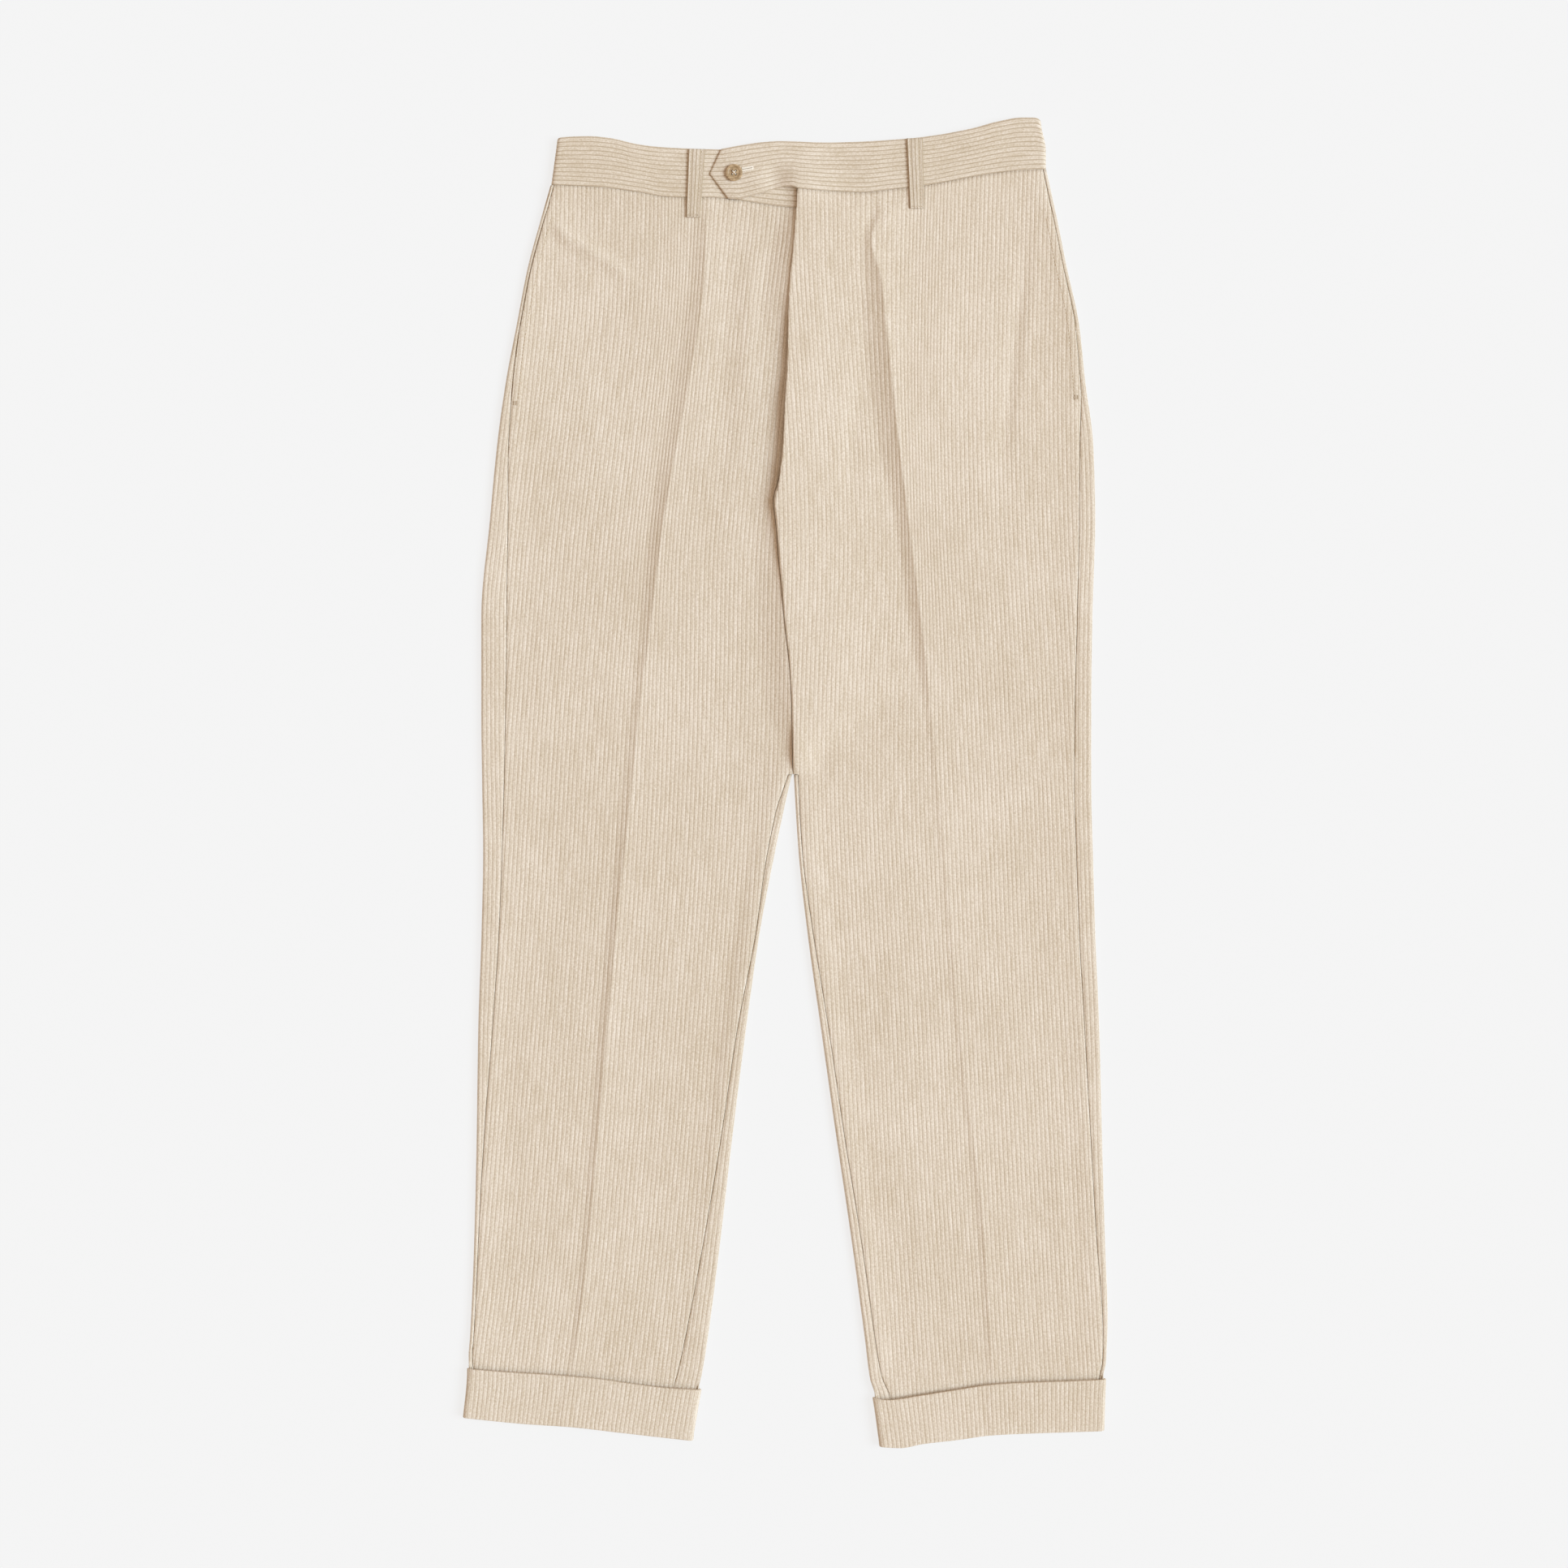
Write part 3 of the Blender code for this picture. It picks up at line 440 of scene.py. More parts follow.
def ridges(table, x, y):
    """The sum of a table's folds at each point: a bump across each line, faded at its ends."""
    total = np.zeros(np.broadcast(x, y).shape)
    for x0, y0, x1, y1, rise, width in table:
        length = math.hypot(x1 - x0, y1 - y0)
        along = ((x - x0) * (x1 - x0) + (y - y0) * (y1 - y0)) / length
        across = ((x - x0) * (y1 - y0) - (y - y0) * (x1 - x0)) / length
        first_end = smoothstep(-0.1 * length, 0.25 * length, along)
        last_end = smoothstep(1.1 * length, 0.7 * length, along)
        total += rise * (first_end * last_end) * bump(across, width)
    return total


FLY = curve(FLY_LINE)
FLY_CLIMB = curve(FLY_RELIEF, 1)
FLY_LIP = curve(FLY_RELIEF, 2)
FLY_CLIMB_WIDTH = curve(FLY_RELIEF, 3)
BACK_WAIST = curve(BAND_BACK_BOTTOM)
BACK_TOP = curve(BAND_BACK_TOP)


def underlap(y):
    """How far the right front runs on under the left one; half a seam gap short below the fly."""
    share = smoothstep(FLY_END, FLY_END + UNDERLAP_TAPER, y)
    return share * UNDERLAP - (1 - share) * 0.5 * SEAM_GAP


class Half:
    """One half of the trousers: its outlines, seams, cords and the height of its top surface.

    toward is the X direction from the side fold to the middle: +1 on the right half, -1 on the
    left one.
    """

    def __init__(self, name, toward, sections, inseam, waist, cuff_top, hem, crease):
        self.name = name
        self.toward = toward
        self.side, self.seam_in = curve(sections, 1), curve(sections, 2)
        self.inner, self.inseam_in = curve(inseam, 1), curve(inseam, 2)
        self.waist = curve(waist)
        self.cuff_top = curve(cuff_top)
        self.hem = curve(hem)
        leans = (1, 2) if toward > 0 else (3, 4)
        self.side_lean, self.inner_lean = (curve(CORD_LEANS, column) for column in leans)
        self.crease, self.crease_rise, self.steep, self.gentle = (
            curve(crease, column) for column in (1, 2, 3, 4))

    def side_seam(self, y):
        return self.side(y) + self.toward * self.seam_in(y)

    def inseam(self, y):
        return self.inner(y) - self.toward * self.inseam_in(y)

    def cuffed(self, x, y):
        """0 above the turn-up and 1 inside it."""
        top = self.cuff_top(x)
        return smoothstep(top + 50, top + 2, y)

    def radius(self, x, y):
        return FOLD_RADIUS + (CUFFED_RADIUS - FOLD_RADIUS) * self.cuffed(x, y)

    def floor(self, x, y):
        return CUFF_LIFT * self.cuffed(x, y)

    def row_y(self, level, x, waist=None):
        """The y of a row at x: rows follow the waist seam at the top and the hem at the bottom."""
        near_waist = smoothstep(400, WAIST - 12, level)
        near_hem = smoothstep(-400, CUFF_TOP + 8, level)
        hem = 0.5 * (self.hem(x) - HEM + self.cuff_top(x) - CUFF_TOP)
        seam = (waist or self.waist)(x) - WAIST_GAP - WAIST
        return level + near_waist * seam + near_hem * hem

    def front_edge(self, y):
        """The x where the front ends in the middle: fly or crotch seam above, inseam below."""
        fly = FLY(y) + (0.5 * SEAM_GAP if self.toward < 0 else underlap(y))
        return np.where(y <= CROTCH, self.inseam(y) - self.toward * 0.5 * SEAM_GAP, fly)

    def lean(self, x, y):
        """How far a cord moves to +X per mm down: one value each side of the crease, blended."""
        from_crease = self.toward * (x - self.crease(y))
        inner_side = smoothstep(-CORD_MEETING, CORD_MEETING, from_crease)
        return self.side_lean(y) * (1 - inner_side) + self.inner_lean(y) * inner_side

    def pressed_crease(self, x, y):
        """A ridge: up as a power of the way over its steep side, then down exponentially."""
        off = x - self.crease(y)
        climb = np.clip(1 + off / self.steep(y), 0, 1) ** CREASE_POWER
        shape = np.where(off < 0, climb, np.exp(-np.maximum(off, 0) / self.gentle(y)))
        if self.toward > 0:
            shape = shape * smoothstep(*CREASE_FADE, FLY(y) - x)
        rise = self.crease_rise(y) * (1 - (1 - CUFFED_CREASE) * self.cuffed(x, y))
        return rise * shape + CREASE_EDGE * bump(off - 0.2, 1) * smoothstep(0, 1.5, rise)

    def height(self, x, y):
        """The outer surface of the top, above the floor, without its cords.

        It is the middle's height, lowered to the folds' at both sides, plus the swellings beside
        the folds, the folds and creases, the fly's rise, the ramp to the waistband's lower edge
        and the grooves where the turn-up presses on the leg.
        """
        radius, floor, cuffed = self.radius(x, y), self.floor(x, y), self.cuffed(x, y)
        middle = MIDDLE_TOP + cuffed * (CUFF_LIFT + 2 * CUFFED_RADIUS - MIDDLE_TOP)
        from_side = self.toward * (x - self.side(y))
        fading = np.where(y <= CROTCH, 1, smoothstep(CROTCH + INNER_FOLD_FADE, CROTCH, y))
        from_inner = self.toward * (np.where(y <= CROTCH, self.inner(y), FLY(y)) - x)
        near_side, near_inner = (1 - smoothstep(radius, radius + FOLD_SHOULDER, distance)
                                 for distance in (from_side, from_inner))
        near_fold = near_side + fading * near_inner
        z = middle + (floor + 2 * radius - middle) * near_fold
        rise, inwards, width = SIDE_SWELLING
        swelling = rise * bump(from_side - inwards, width)
        rise, inwards, width = INNER_SWELLING
        swelling = swelling + rise * fading * bump(from_inner - inwards, width)
        folds = ridges(FOLDS, x, y) + ridges(WRINKLES, x, y) + self.pressed_crease(x, y)
        z = z + (1 - cuffed) * swelling + folds * (1 - near_fold) + self.fly_rise(x, y)
        near_waist = 1 - smoothstep(0, WAIST_RAMP, self.waist(x) - y)
        z = z + near_waist * (self.band_level(x, self.waist(x)) - SEAM_EDGE - z)
        above_cuff = y - self.cuff_top(x)
        return z - sum(groove(above_cuff - 0.6, press) for press in CUFF_PRESS)

    def band_level(self, x, y):
        """The waistband's outer surface, without its waves; the right half sinks under the tab."""
        low = smoothstep(*LIFT_SPAN, y)
        if self.toward > 0:
            sinking = sum(share * smoothstep(start, end, x) for start, end, share in BAND_SINKS)
            rising = UNDER_TAB_LIFT * smoothstep(-3, 12, x) * low
            return BAND_TOP + (UNDER_TAB_TOP - BAND_TOP) * sinking + rising
        lifted = smoothstep(-5, 10, x) * smoothstep(66, 12, x) * low
        return TAB_TOP + (BAND_TOP - TAB_TOP) * smoothstep(12, 48, x) + TAB_LIFT * lifted

    def pocket_mouth(self, y):
        """1 beside the pocket mouth and 0 above and below it."""
        return (smoothstep(POCKET_TOP + 8, POCKET_TOP - 8, y)
                * smoothstep(POCKET_END - 6, POCKET_END + 10, y))

    def pocket_rise(self, x, y):
        """How high the pocket's free edge stands: full beside the seam, then falling inwards."""
        from_seam = self.toward * (x - self.side_seam(y))
        falling = smoothstep(0.6 * POCKET_EDGE_WIDTH, 1.6 * POCKET_EDGE_WIDTH, from_seam)
        return POCKET_RISE * self.pocket_mouth(y) * (1 - falling)

    def fly_rise(self, x, y):
        """How far the fronts rise towards the fly's edge.

        The right front climbs to it as a power of the way, and sinks again under it. The left
        front falls away from it, and where the fly is sewn shut its edge turns down to the seam.
        Both rises fade out just above the crotch.
        """
        from_fly = x - FLY(y)
        if self.toward > 0:
            climb = np.clip(1 + from_fly / FLY_CLIMB_WIDTH(y), 0, 1) ** FLY_POWER
            sinking = FLY_SINK * smoothstep(FLY_SINK_START, 0.5 * UNDERLAP, from_fly)
            lift = FLY_CLIMB(y) * climb * (1 - sinking)
        else:
            wide = smoothstep(CROTCH, CROTCH + CROTCH_FALL_TAPER, y)
            width = CROTCH_FALL_WIDTH + (FLY_FALL_WIDTH - CROTCH_FALL_WIDTH) * wide
            fall = np.clip(1 - from_fly / width, 0, 1)
            fall = 0.6 * fall + 0.4 * smoothstep(0, 1, fall)
            sewn = (y < FLY_END) * (1.0 - smoothstep(0.1, 0.6, from_fly))
            lift = (FLY_CLIMB(y) + FLY_LIP(y) * (1 - sewn)) * fall
        return lift * smoothstep(CROTCH, CROTCH + 10, y)


RIGHT = Half("right", 1, RIGHT_SECTIONS, RIGHT_INSEAM, BAND_RIGHT_BOTTOM, CUFF_RIGHT_TOP,
             CUFF_RIGHT_BOTTOM, RIGHT_CREASE)
LEFT = Half("left", -1, LEFT_SECTIONS, LEFT_INSEAM, BAND_LEFT_BOTTOM, CUFF_LEFT_TOP,
            CUFF_LEFT_BOTTOM, LEFT_CREASE)


# ---- cords and meshes

def cord_relief(cords):
    """The cords' profile: high in a cord's middle, and down to its grooves as distance cubed."""
    return CORD_HEIGHT * (1 / 3 - abs(2 * (cords % 1) - 1) ** 3)


def cord_fade(distance):
    """0 on a piece's edge and 1 where its cords stand full, an S-curve of the distance from it."""
    return smoothstep(0, CORD_FADE, distance)


def cord_columns(first, last):
    """Positions across the cloth, in cords: a few for every cord from first to last."""
    whole = np.arange(math.floor(first), math.ceil(last) + 1)[:, None]
    return (whole + CORD_STOPS).ravel()


def put_in_scene(name, data):
    """A new object at the origin with this data."""
    thing = bpy.data.objects.new(name, data)
    bpy.context.scene.collection.objects.link(thing)
    return thing


def put_mesh(name, points, faces, across, along, material):
    """A mesh from points in mm; points in one place are merged, and faces that this flattens go.

    across and along say where each point lies on the woven cloth, counted in cords.
    """
    _, first, merged = np.unique(np.round(points * MERGE_STEPS).astype(np.int64), axis=0,
                                 return_index=True, return_inverse=True)
    merged = merged.ravel()
    polygons = []
    for group in faces:
        group = merged[group]
        kept = group != np.roll(group, 1, axis=1)
        for corners in range(3, group.shape[1] + 1):
            rows = kept.sum(axis=1) == corners
            polygons.append(group[rows][kept[rows]].reshape(-1, corners))
    used = np.unique(np.concatenate([group.ravel() for group in polygons]))
    renumber = np.zeros(len(first), int)
    renumber[used] = np.arange(len(used))
    source = first[used]
    mesh = bpy.data.meshes.new(name)
    polygons = [row for group in polygons for row in renumber[group].tolist()]
    mesh.from_pydata(points[source] * MM, [], polygons)
    weave = mesh.attributes.new("cords", "FLOAT_VECTOR", "POINT")
    place = np.stack((across[source], along[source], 0 * source), 1)
    weave.data.foreach_set("vector", place.ravel())
    mesh.polygons.foreach_set("use_smooth", np.full(len(mesh.polygons), True))
    mesh.update()
    mesh.materials.append(material)
    piece = put_in_scene(name, mesh)
    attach(piece, "root")
    return piece


def grid_faces(rows, columns, closed_rows=False, closed_columns=False, keep=None):
    """The faces of a grid of points, as four point numbers each; keep is a mask of the cells."""
    index = np.arange(rows * columns).reshape(rows, columns)
    if closed_columns:
        index = np.concatenate((index, index[:, :1]), axis=1)
    if closed_rows:
        index = np.concatenate((index, index[:1]), axis=0)
    cells = np.stack((index[:-1, :-1], index[1:, :-1], index[1:, 1:], index[:-1, 1:]), -1)
    return cells[keep] if keep is not None else cells.reshape(-1, 4)


def sheet_of_cloth(name, x, y, z, across, along, material, keep=None):
    """An open grid of cloth with its outer surface given, and a wall under it."""
    points = np.stack(np.broadcast_arrays(x, y, z), -1)
    across, along = np.broadcast_arrays(across, along, x)[:2]
    piece = put_mesh(name, points.reshape(-1, 3), [grid_faces(*x.shape, keep=keep)],
                     across.ravel(), along.ravel(), material)
    wall = piece.modifiers.new("cloth", "SOLIDIFY")
    wall.thickness = CLOTH * MM
    wall.offset = -1
    return piece


def rolled_cloth(name, x, y, z, across, along, material, ring=False):
    """A thick strip, a closed section carried along a path: capped ends, or closed to a ring."""
    rows, columns = x.shape
    points = np.stack((x, y, z), -1).reshape(-1, 3)
    faces = [grid_faces(rows, columns, closed_rows=ring, closed_columns=True)]
    if not ring:
        index = np.arange(rows * columns).reshape(rows, columns)
        faces.append(np.stack((index[0], index[-1, ::-1])))
    across, along = np.broadcast_arrays(across, along, x)[:2]
    return put_mesh(name, points, faces, across.ravel(), along.ravel(), material)


def strip_section(width, thickness, stations, first_edge, last_edge, inner_steps=5):
    """A closed section: outer face from 0 to width, round edge, inner face back, round edge.

    stations are the places across the outer face, and each edge is half an ellipse that reaches
    first_edge or last_edge across. The result is place across, depth below the outer face.
    """
    radius = 0.5 * thickness
    arc = np.radians(np.linspace(0, 180, 7)[1:-1])
    outer = stations[(stations > first_edge + 0.2) & (stations < width - last_edge - 0.2)]
    outer = np.concatenate(((first_edge,), outer, (width - last_edge,)))
    inner = np.linspace(width - last_edge, first_edge, inner_steps)
    place = np.concatenate((outer, width - last_edge + last_edge * np.sin(arc), inner,
                            first_edge - first_edge * np.sin(arc)))
    depth = np.concatenate((0 * outer, radius - radius * np.cos(arc), 0 * inner + thickness,
                            radius + radius * np.cos(arc)))
    return place, depth


# ---- the legs' panels

def cord_lines(half, levels, cords):
    """The x of each cord at each level: its lean, added up from CALM_LEVEL up and down."""
    lines = np.empty((len(levels), len(cords)))
    start = int(np.argmin(abs(levels - CALM_LEVEL)))
    lines[start] = cords * CORD_PITCH
    upwards = [(row + 1, row) for row in range(start - 1, -1, -1)]
    downwards = [(row - 1, row) for row in range(start + 1, len(levels))]
    for last, row in upwards + downwards:
        down = levels[last] - levels[row]
        between = 0.5 * (levels[last] + levels[row])
        lines[row] = lines[last] + half.lean(lines[last], between) * down
    return lines


def make_front(half, material):
    """The front panel: a grid of rows by cords, cut off at the side seam and at the middle edge.

    A row and its cut shift each other, as rows follow curved seams, so a few rounds settle them.
    Columns whose cord is cut off lie on the edge and are merged there.
    """
    cords = cord_columns(-CORD_REACH / CORD_PITCH, CORD_REACH / CORD_PITCH)
    lines = cord_lines(half, PANEL_LEVELS, cords)
    level = PANEL_LEVELS[:, None]
    x = lines
    for _ in range(6):
        y = half.row_y(level, x)
        seam = half.side_seam(y) + half.toward * 0.5 * SEAM_GAP
        edge = half.front_edge(y)
        x = np.clip(lines, np.minimum(seam, edge), np.maximum(seam, edge))
    inside = ((lines >= x.min(axis=1, keepdims=True) - 1)
              & (lines <= x.max(axis=1, keepdims=True) + 1))
    used = np.flatnonzero(inside.any(axis=0))
    used = slice(max(used[0] - 1, 0), used[-1] + 2)
    x, y, lines, cords = x[:, used], y[:, used], lines[:, used], cords[used]
    across = np.stack([np.interp(*row, cords) for row in zip(x, lines)])
    from_seam = half.toward * (x - half.side_seam(y))
    from_edge = half.toward * (half.front_edge(y) - x)
    mouth = half.pocket_mouth(y)
    relief = cord_relief(across) * cord_fade(from_seam) * cord_fade(from_edge)
    pressed = groove(from_seam - POCKET_STITCH_IN, POCKET_GROOVE) + groove(from_seam, MOUTH_EDGE)
    z = half.height(x, y) + relief + half.pocket_rise(x, y) - mouth * pressed
    z = z - (1 - mouth) * groove(from_seam, SEAM_GROOVE) - groove(from_edge, FRONT_EDGE)
    return sheet_of_cloth(f"{half.name}_front_cloth", x, y, z, across, -y / CORD_PITCH, material)


def make_back(half, material):
    """The back panel, wrapped round to the side seam and the inseam.

    s is the length round the fold from its outermost line, up to the seam and down to the floor.
    The fold is a half ellipse, and the strip above it follows the top's height. Below the crotch
    the inner fold is made the same way, and above it the panel ends at the centre back. The floor
    part runs straight between the folds.
    """
    quarter = 0.5 * math.pi * FOLD_RADIUS
    round_fold = cord_columns(-1, FOLD_REACH / CORD_PITCH) * CORD_PITCH
    round_fold = np.concatenate(((-quarter,), round_fold[round_fold > -quarter + 0.3]))
    floor_share = np.concatenate((np.linspace(0.0, 0.499, 12)[1:],
                                  np.linspace(0.501, 1, 12)[:-1]))
    level = PANEL_LEVELS.copy()
    level[CROTCH_ROW] -= CROTCH_CLEARANCE
    level = level[:, None]

    def fold(edge_of, seam_in_of, inward, s):
        x = edge_of(level) + 0 * s
        for _ in range(5):
            y = half.row_y(level, x)
            radius = half.radius(x, y)
            bulge = FOLD_BULGE * radius
            strip = np.maximum(seam_in_of(y) - 0.5 * SEAM_GAP - bulge, 0.1)
            top = np.clip(s, -quarter, quarter + strip)
            angle = np.clip(top, -quarter, quarter) / FOLD_RADIUS
            beyond = np.maximum(top - quarter, 0)
            x = edge_of(y) + inward * (bulge * (1 - np.cos(angle)) + beyond)
        from_seam = quarter + seam_in_of(y) - bulge - top
        relief = cord_relief(top / CORD_PITCH) * cord_fade(from_seam)
        relief = relief * smoothstep(-quarter, -0.2 * quarter, top)
        relief = relief - groove(from_seam, SEAM_GROOVE)
        round_z = half.floor(x, y) + radius * (1 + np.sin(angle))
        z = np.where(top > quarter, half.height(x, y), round_z)
        z = z + relief * np.maximum(np.sin(angle), 0)
        return x - inward * relief * np.cos(angle), y, z, top / CORD_PITCH

    side = fold(half.side, half.seam_in, half.toward, round_fold[::-1][None, :])
    inner = fold(half.inner, half.inseam_in, -half.toward, round_fold[None, :])
    centre_back = CENTRE_BACK - half.toward * SEWN_GAP
    start = half.side(level) + half.toward * FOLD_BULGE * half.radius(half.side(level), level)
    end = half.inner(level) - half.toward * FOLD_BULGE * half.radius(half.inner(level), level)
    end[:CROTCH_ROW + 1] = centre_back
    floor_x = start + (end - start) * floor_share
    floor_y = half.row_y(level, floor_x, BACK_WAIST)
    from_fold = np.where(floor_share < 0.5, abs(floor_x - start), abs(end - floor_x))
    floor_across = -(quarter + from_fold) / CORD_PITCH
    floor_part = (floor_x, floor_y, half.floor(floor_x, floor_y), floor_across)
    # Above the crotch the inner part is one edge, on the centre back.
    inner_x, inner_y, inner_z = inner[:3]
    inner_x[:CROTCH_ROW, 0] = centre_back
    inner_y[:CROTCH_ROW, 0] = half.row_y(level[:CROTCH_ROW, 0], centre_back, BACK_WAIST)
    inner_z[:CROTCH_ROW, 0] = 0
    x, y, z, across = (np.concatenate(parts, axis=1) for parts in zip(side, floor_part, inner))
    keep = np.ones((x.shape[0] - 1, x.shape[1] - 1), bool)
    keep[:CROTCH_ROW, side[0].shape[1] + len(floor_share):] = False
    if half.toward > 0:
        x, y, z, across, keep = (np.ascontiguousarray(part[:, ::-1])
                                 for part in (x, y, z, across, keep))
    return sheet_of_cloth(f"{half.name}_back_cloth", x, y, z, across, -y / CORD_PITCH, material,
                          keep=keep)


# ---- waistband, turn-ups and belt loops

def band_height(half, x, y):
    """The outer surface of the waistband's front part, with its waves."""
    waves = [wave for wave in BAND_WAVES if (wave[0] < -50) == (half.toward > 0)]
    return half.band_level(x, y) + ridges(waves, x, y)


def band_side(half, share):
    """The x of the waistband's side fold, share of the way down its height."""
    if half.toward > 0:
        return BAND_RIGHT_SIDE[0] + (BAND_RIGHT_SIDE[1] - BAND_RIGHT_SIDE[0]) * share
    drawn = smoothstep(0.0, 0.6, share)
    return BAND_LEFT_SIDE[0] + (BAND_LEFT_SIDE[1] - BAND_LEFT_SIDE[0]) * drawn


def band_end(half, share):
    """The x where the band ends at the front: under the tab, or along the tab's pointed end."""
    return np.interp(share, (0.0, 0.5, 1.0), UNDER_TAB_END if half.toward > 0 else TAB_END)


def make_band(half, material):
    """The waistband: a section with round edges, carried along a path.

    The path runs from the front end along the top, round the side as a half circle squared off a
    little, and back along the floor to the centre back. share is 0 at the band's upper edge and 1
    at its lower one, and y is read between the two edges at that share.
    """
    stations = cord_columns(0, BAND_WIDTH / CORD_PITCH) * CORD_PITCH + BAND_FIRST_CORD
    place, depth = strip_section(BAND_WIDTH, BAND_CLOTH, stations, SEAM_EDGE, 1.3)
    share = 1 - place / BAND_WIDTH
    cords = (place - BAND_FIRST_CORD) / CORD_PITCH
    relief = cord_relief(cords) * (depth < FACE) * cord_fade(place) * cord_fade(BAND_WIDTH - place)
    top = curve(BAND_RIGHT_TOP if half.toward > 0 else BAND_LEFT_TOP)
    side, end = band_side(half, share), band_end(half, share)
    start = side + half.toward * BAND_FOLD_RADIUS

    def y_of(x, upper, lower):
        return upper(x) + (lower(x) - upper(x)) * share

    length = abs(float(start[0] - end[0]))
    along = np.concatenate(((0.0, 0.3, 0.8, 1.4), np.arange(2.6, length - 1.0, 2.6), (length,)))
    along = along[:, None] / length
    x_front = end + (start - end) * along
    y_front = y_of(x_front, top, half.waist)
    # The end is rounded off over half its thickness, and the tab's point is pressed thinner.
    end_distance = np.minimum(along * length / (0.5 * BAND_CLOTH), 1)
    fullness = np.sqrt(np.maximum(1 - (1 - end_distance) ** 2, 0.03))
    if half.toward < 0:
        least, reach = TAB_POINT_PRESS
        fullness = fullness * (least + (1 - least) * smoothstep(0, reach, along * length))
    thinned = 0.5 * BAND_CLOTH + (depth - 0.5 * BAND_CLOTH) * fullness
    z_front = band_height(half, x_front, y_front) - thinned + relief * fullness
    angle = np.radians(np.linspace(90, -90, 13))[1:, None]
    depth_round = depth - relief * smoothstep(-1, 0.2, np.sin(angle))
    squared = np.maximum(np.cos(angle), 0) ** 0.75
    x_fold = side + half.toward * (BAND_FOLD_RADIUS - (BAND_FOLD_RADIUS - depth_round) * squared)
    z_fold = BAND_FOLD_RADIUS + (BAND_FOLD_RADIUS - depth_round) * np.sin(angle)
    turn = (1 - np.sin(angle)) / 2
    y_fold = y_of(x_fold, top, half.waist) * (1 - turn)
    y_fold = y_fold + y_of(x_fold, BACK_TOP, BACK_WAIST) * turn
    centre = CENTRE_BACK - half.toward * SEWN_GAP
    x_back = start + (centre - start) * np.linspace(0, 1, 25)[1:, None]
    y_back = y_of(x_back, BACK_TOP, BACK_WAIST)
    z_back = depth + 0 * x_back
    x, y, z = (np.concatenate(parts) for parts in
               ((x_front, x_fold, x_back), (y_front, y_fold, y_back), (z_front, z_fold, z_back)))
    travel = np.concatenate((along * length, length + (angle[::-1] - angle[-1]) * BAND_FOLD_RADIUS,
                             length + 12 + abs(x_back[:, :1] - start[0])))
    if half.toward > 0:
        x, y, z, travel = x[::-1], y[::-1], z[::-1], travel[::-1]
    return rolled_cloth(f"{half.name}_waistband_cloth", x, y, z, cords, travel / CORD_PITCH,
                        material)


def make_cuff(half, material):
    """The turn-up: a ring round the leg's end, with a rounded fold along its top and its bottom.

    Its place round the leg is a share of the width between its side folds, so its cords fan
    slightly, as the leg's do.
    """
    stations = np.linspace(1.5, CUFF_HEIGHT - 1.5, 11)
    place, depth = strip_section(CUFF_HEIGHT, CUFF_CLOTH, stations, 1.2, 0.7, inner_steps=3)
    share = 1 - place / CUFF_HEIGHT
    outer_radius = CUFFED_RADIUS + SEAM_GAP + CUFF_CLOTH
    centre_z = CUFF_LIFT + CUFFED_RADIUS

    def level(x):
        return half.cuff_top(x) + (half.hem(x) - half.cuff_top(x)) * share

    def side_of(edge):
        x = edge(CUFF_TOP) + 0 * share
        for _ in range(5):
            x = edge(np.minimum(level(x), half.cuff_top(x) - 1))
        return x

    left, right = sorted((side_of(half.side), side_of(half.inner)), key=lambda side: side[0])
    left, right = left + CUFF_FOLD_IN, right - CUFF_FOLD_IN
    width = float(np.mean(right - left))
    cords = cord_columns(0, width / CORD_PITCH)
    cords = cords[(cords > 0.3) & (cords < width / CORD_PITCH - 0.3)][:, None]
    angle = np.radians(np.linspace(0, 180, 11))[:, None]
    lip_rise, lip_width = CUFF_LIP
    bulge = (CUFF_FOLD_IN + outer_radius - CUFFED_RADIUS - depth) * np.sin(angle) ** 0.8

    x_left = left - bulge
    z_left = centre_z - (outer_radius - depth) * np.cos(angle)
    x_top = left + (right - left) * cords * CORD_PITCH / width
    inside = np.minimum(level(x_top), half.cuff_top(x_top) - 5)
    z_top = half.height(x_top, inside) + SEAM_GAP + CUFF_CLOTH - depth
    z_top = z_top + lip_rise * bump(share, lip_width) + cord_relief(cords) * (depth < FACE)
    x_right = right + bulge
    z_right = centre_z + (outer_radius - depth) * np.cos(angle)
    under = np.linspace(0, 1, 27)[1:-1, None]
    x_under = right + (left - right) * under
    z_under = depth + 0 * x_under
    x = np.concatenate((x_left, x_top, x_right, x_under))
    z = np.concatenate((z_left, z_top, z_right, z_under))
    quarter = 0.5 * math.pi * outer_radius / CORD_PITCH
    round_left = (angle / math.pi - 1) * 2 * quarter
    round_right = width / CORD_PITCH + angle / math.pi * 2 * quarter
    round_under = round_right[-1] + under * width / CORD_PITCH
    across = np.concatenate((round_left, cords, round_right, round_under))
    y = level(x)
    return rolled_cloth(f"{half.name}_turn_up_cloth", x, y, z, across, -y / CORD_PITCH, material,
                        ring=True)


def loop_place(half, loop, along, across):
    """A point of a belt loop: along from its top (0) to its foot (1), across from its middle.

    It lies on the waistband, and comes down to the front just below the waist seam.
    """
    top_x, top_y, foot_x, foot_y = loop[:4]
    centre = top_x + (foot_x - top_x) * along
    x = centre + across
    y = top_y + (foot_y - top_y) * along + 0 * across
    down = smoothstep(0, LOOP_RAMP_LENGTH, half.waist(centre) - LOOP_RAMP_START - y)
    on_band = band_height(half, x, y)
    on_panel = half.height(x, np.minimum(y, half.waist(x) - 1))
    return x, y, on_band + (on_panel - on_band) * down + LOOP_LIFT + LOOP_CLOTH


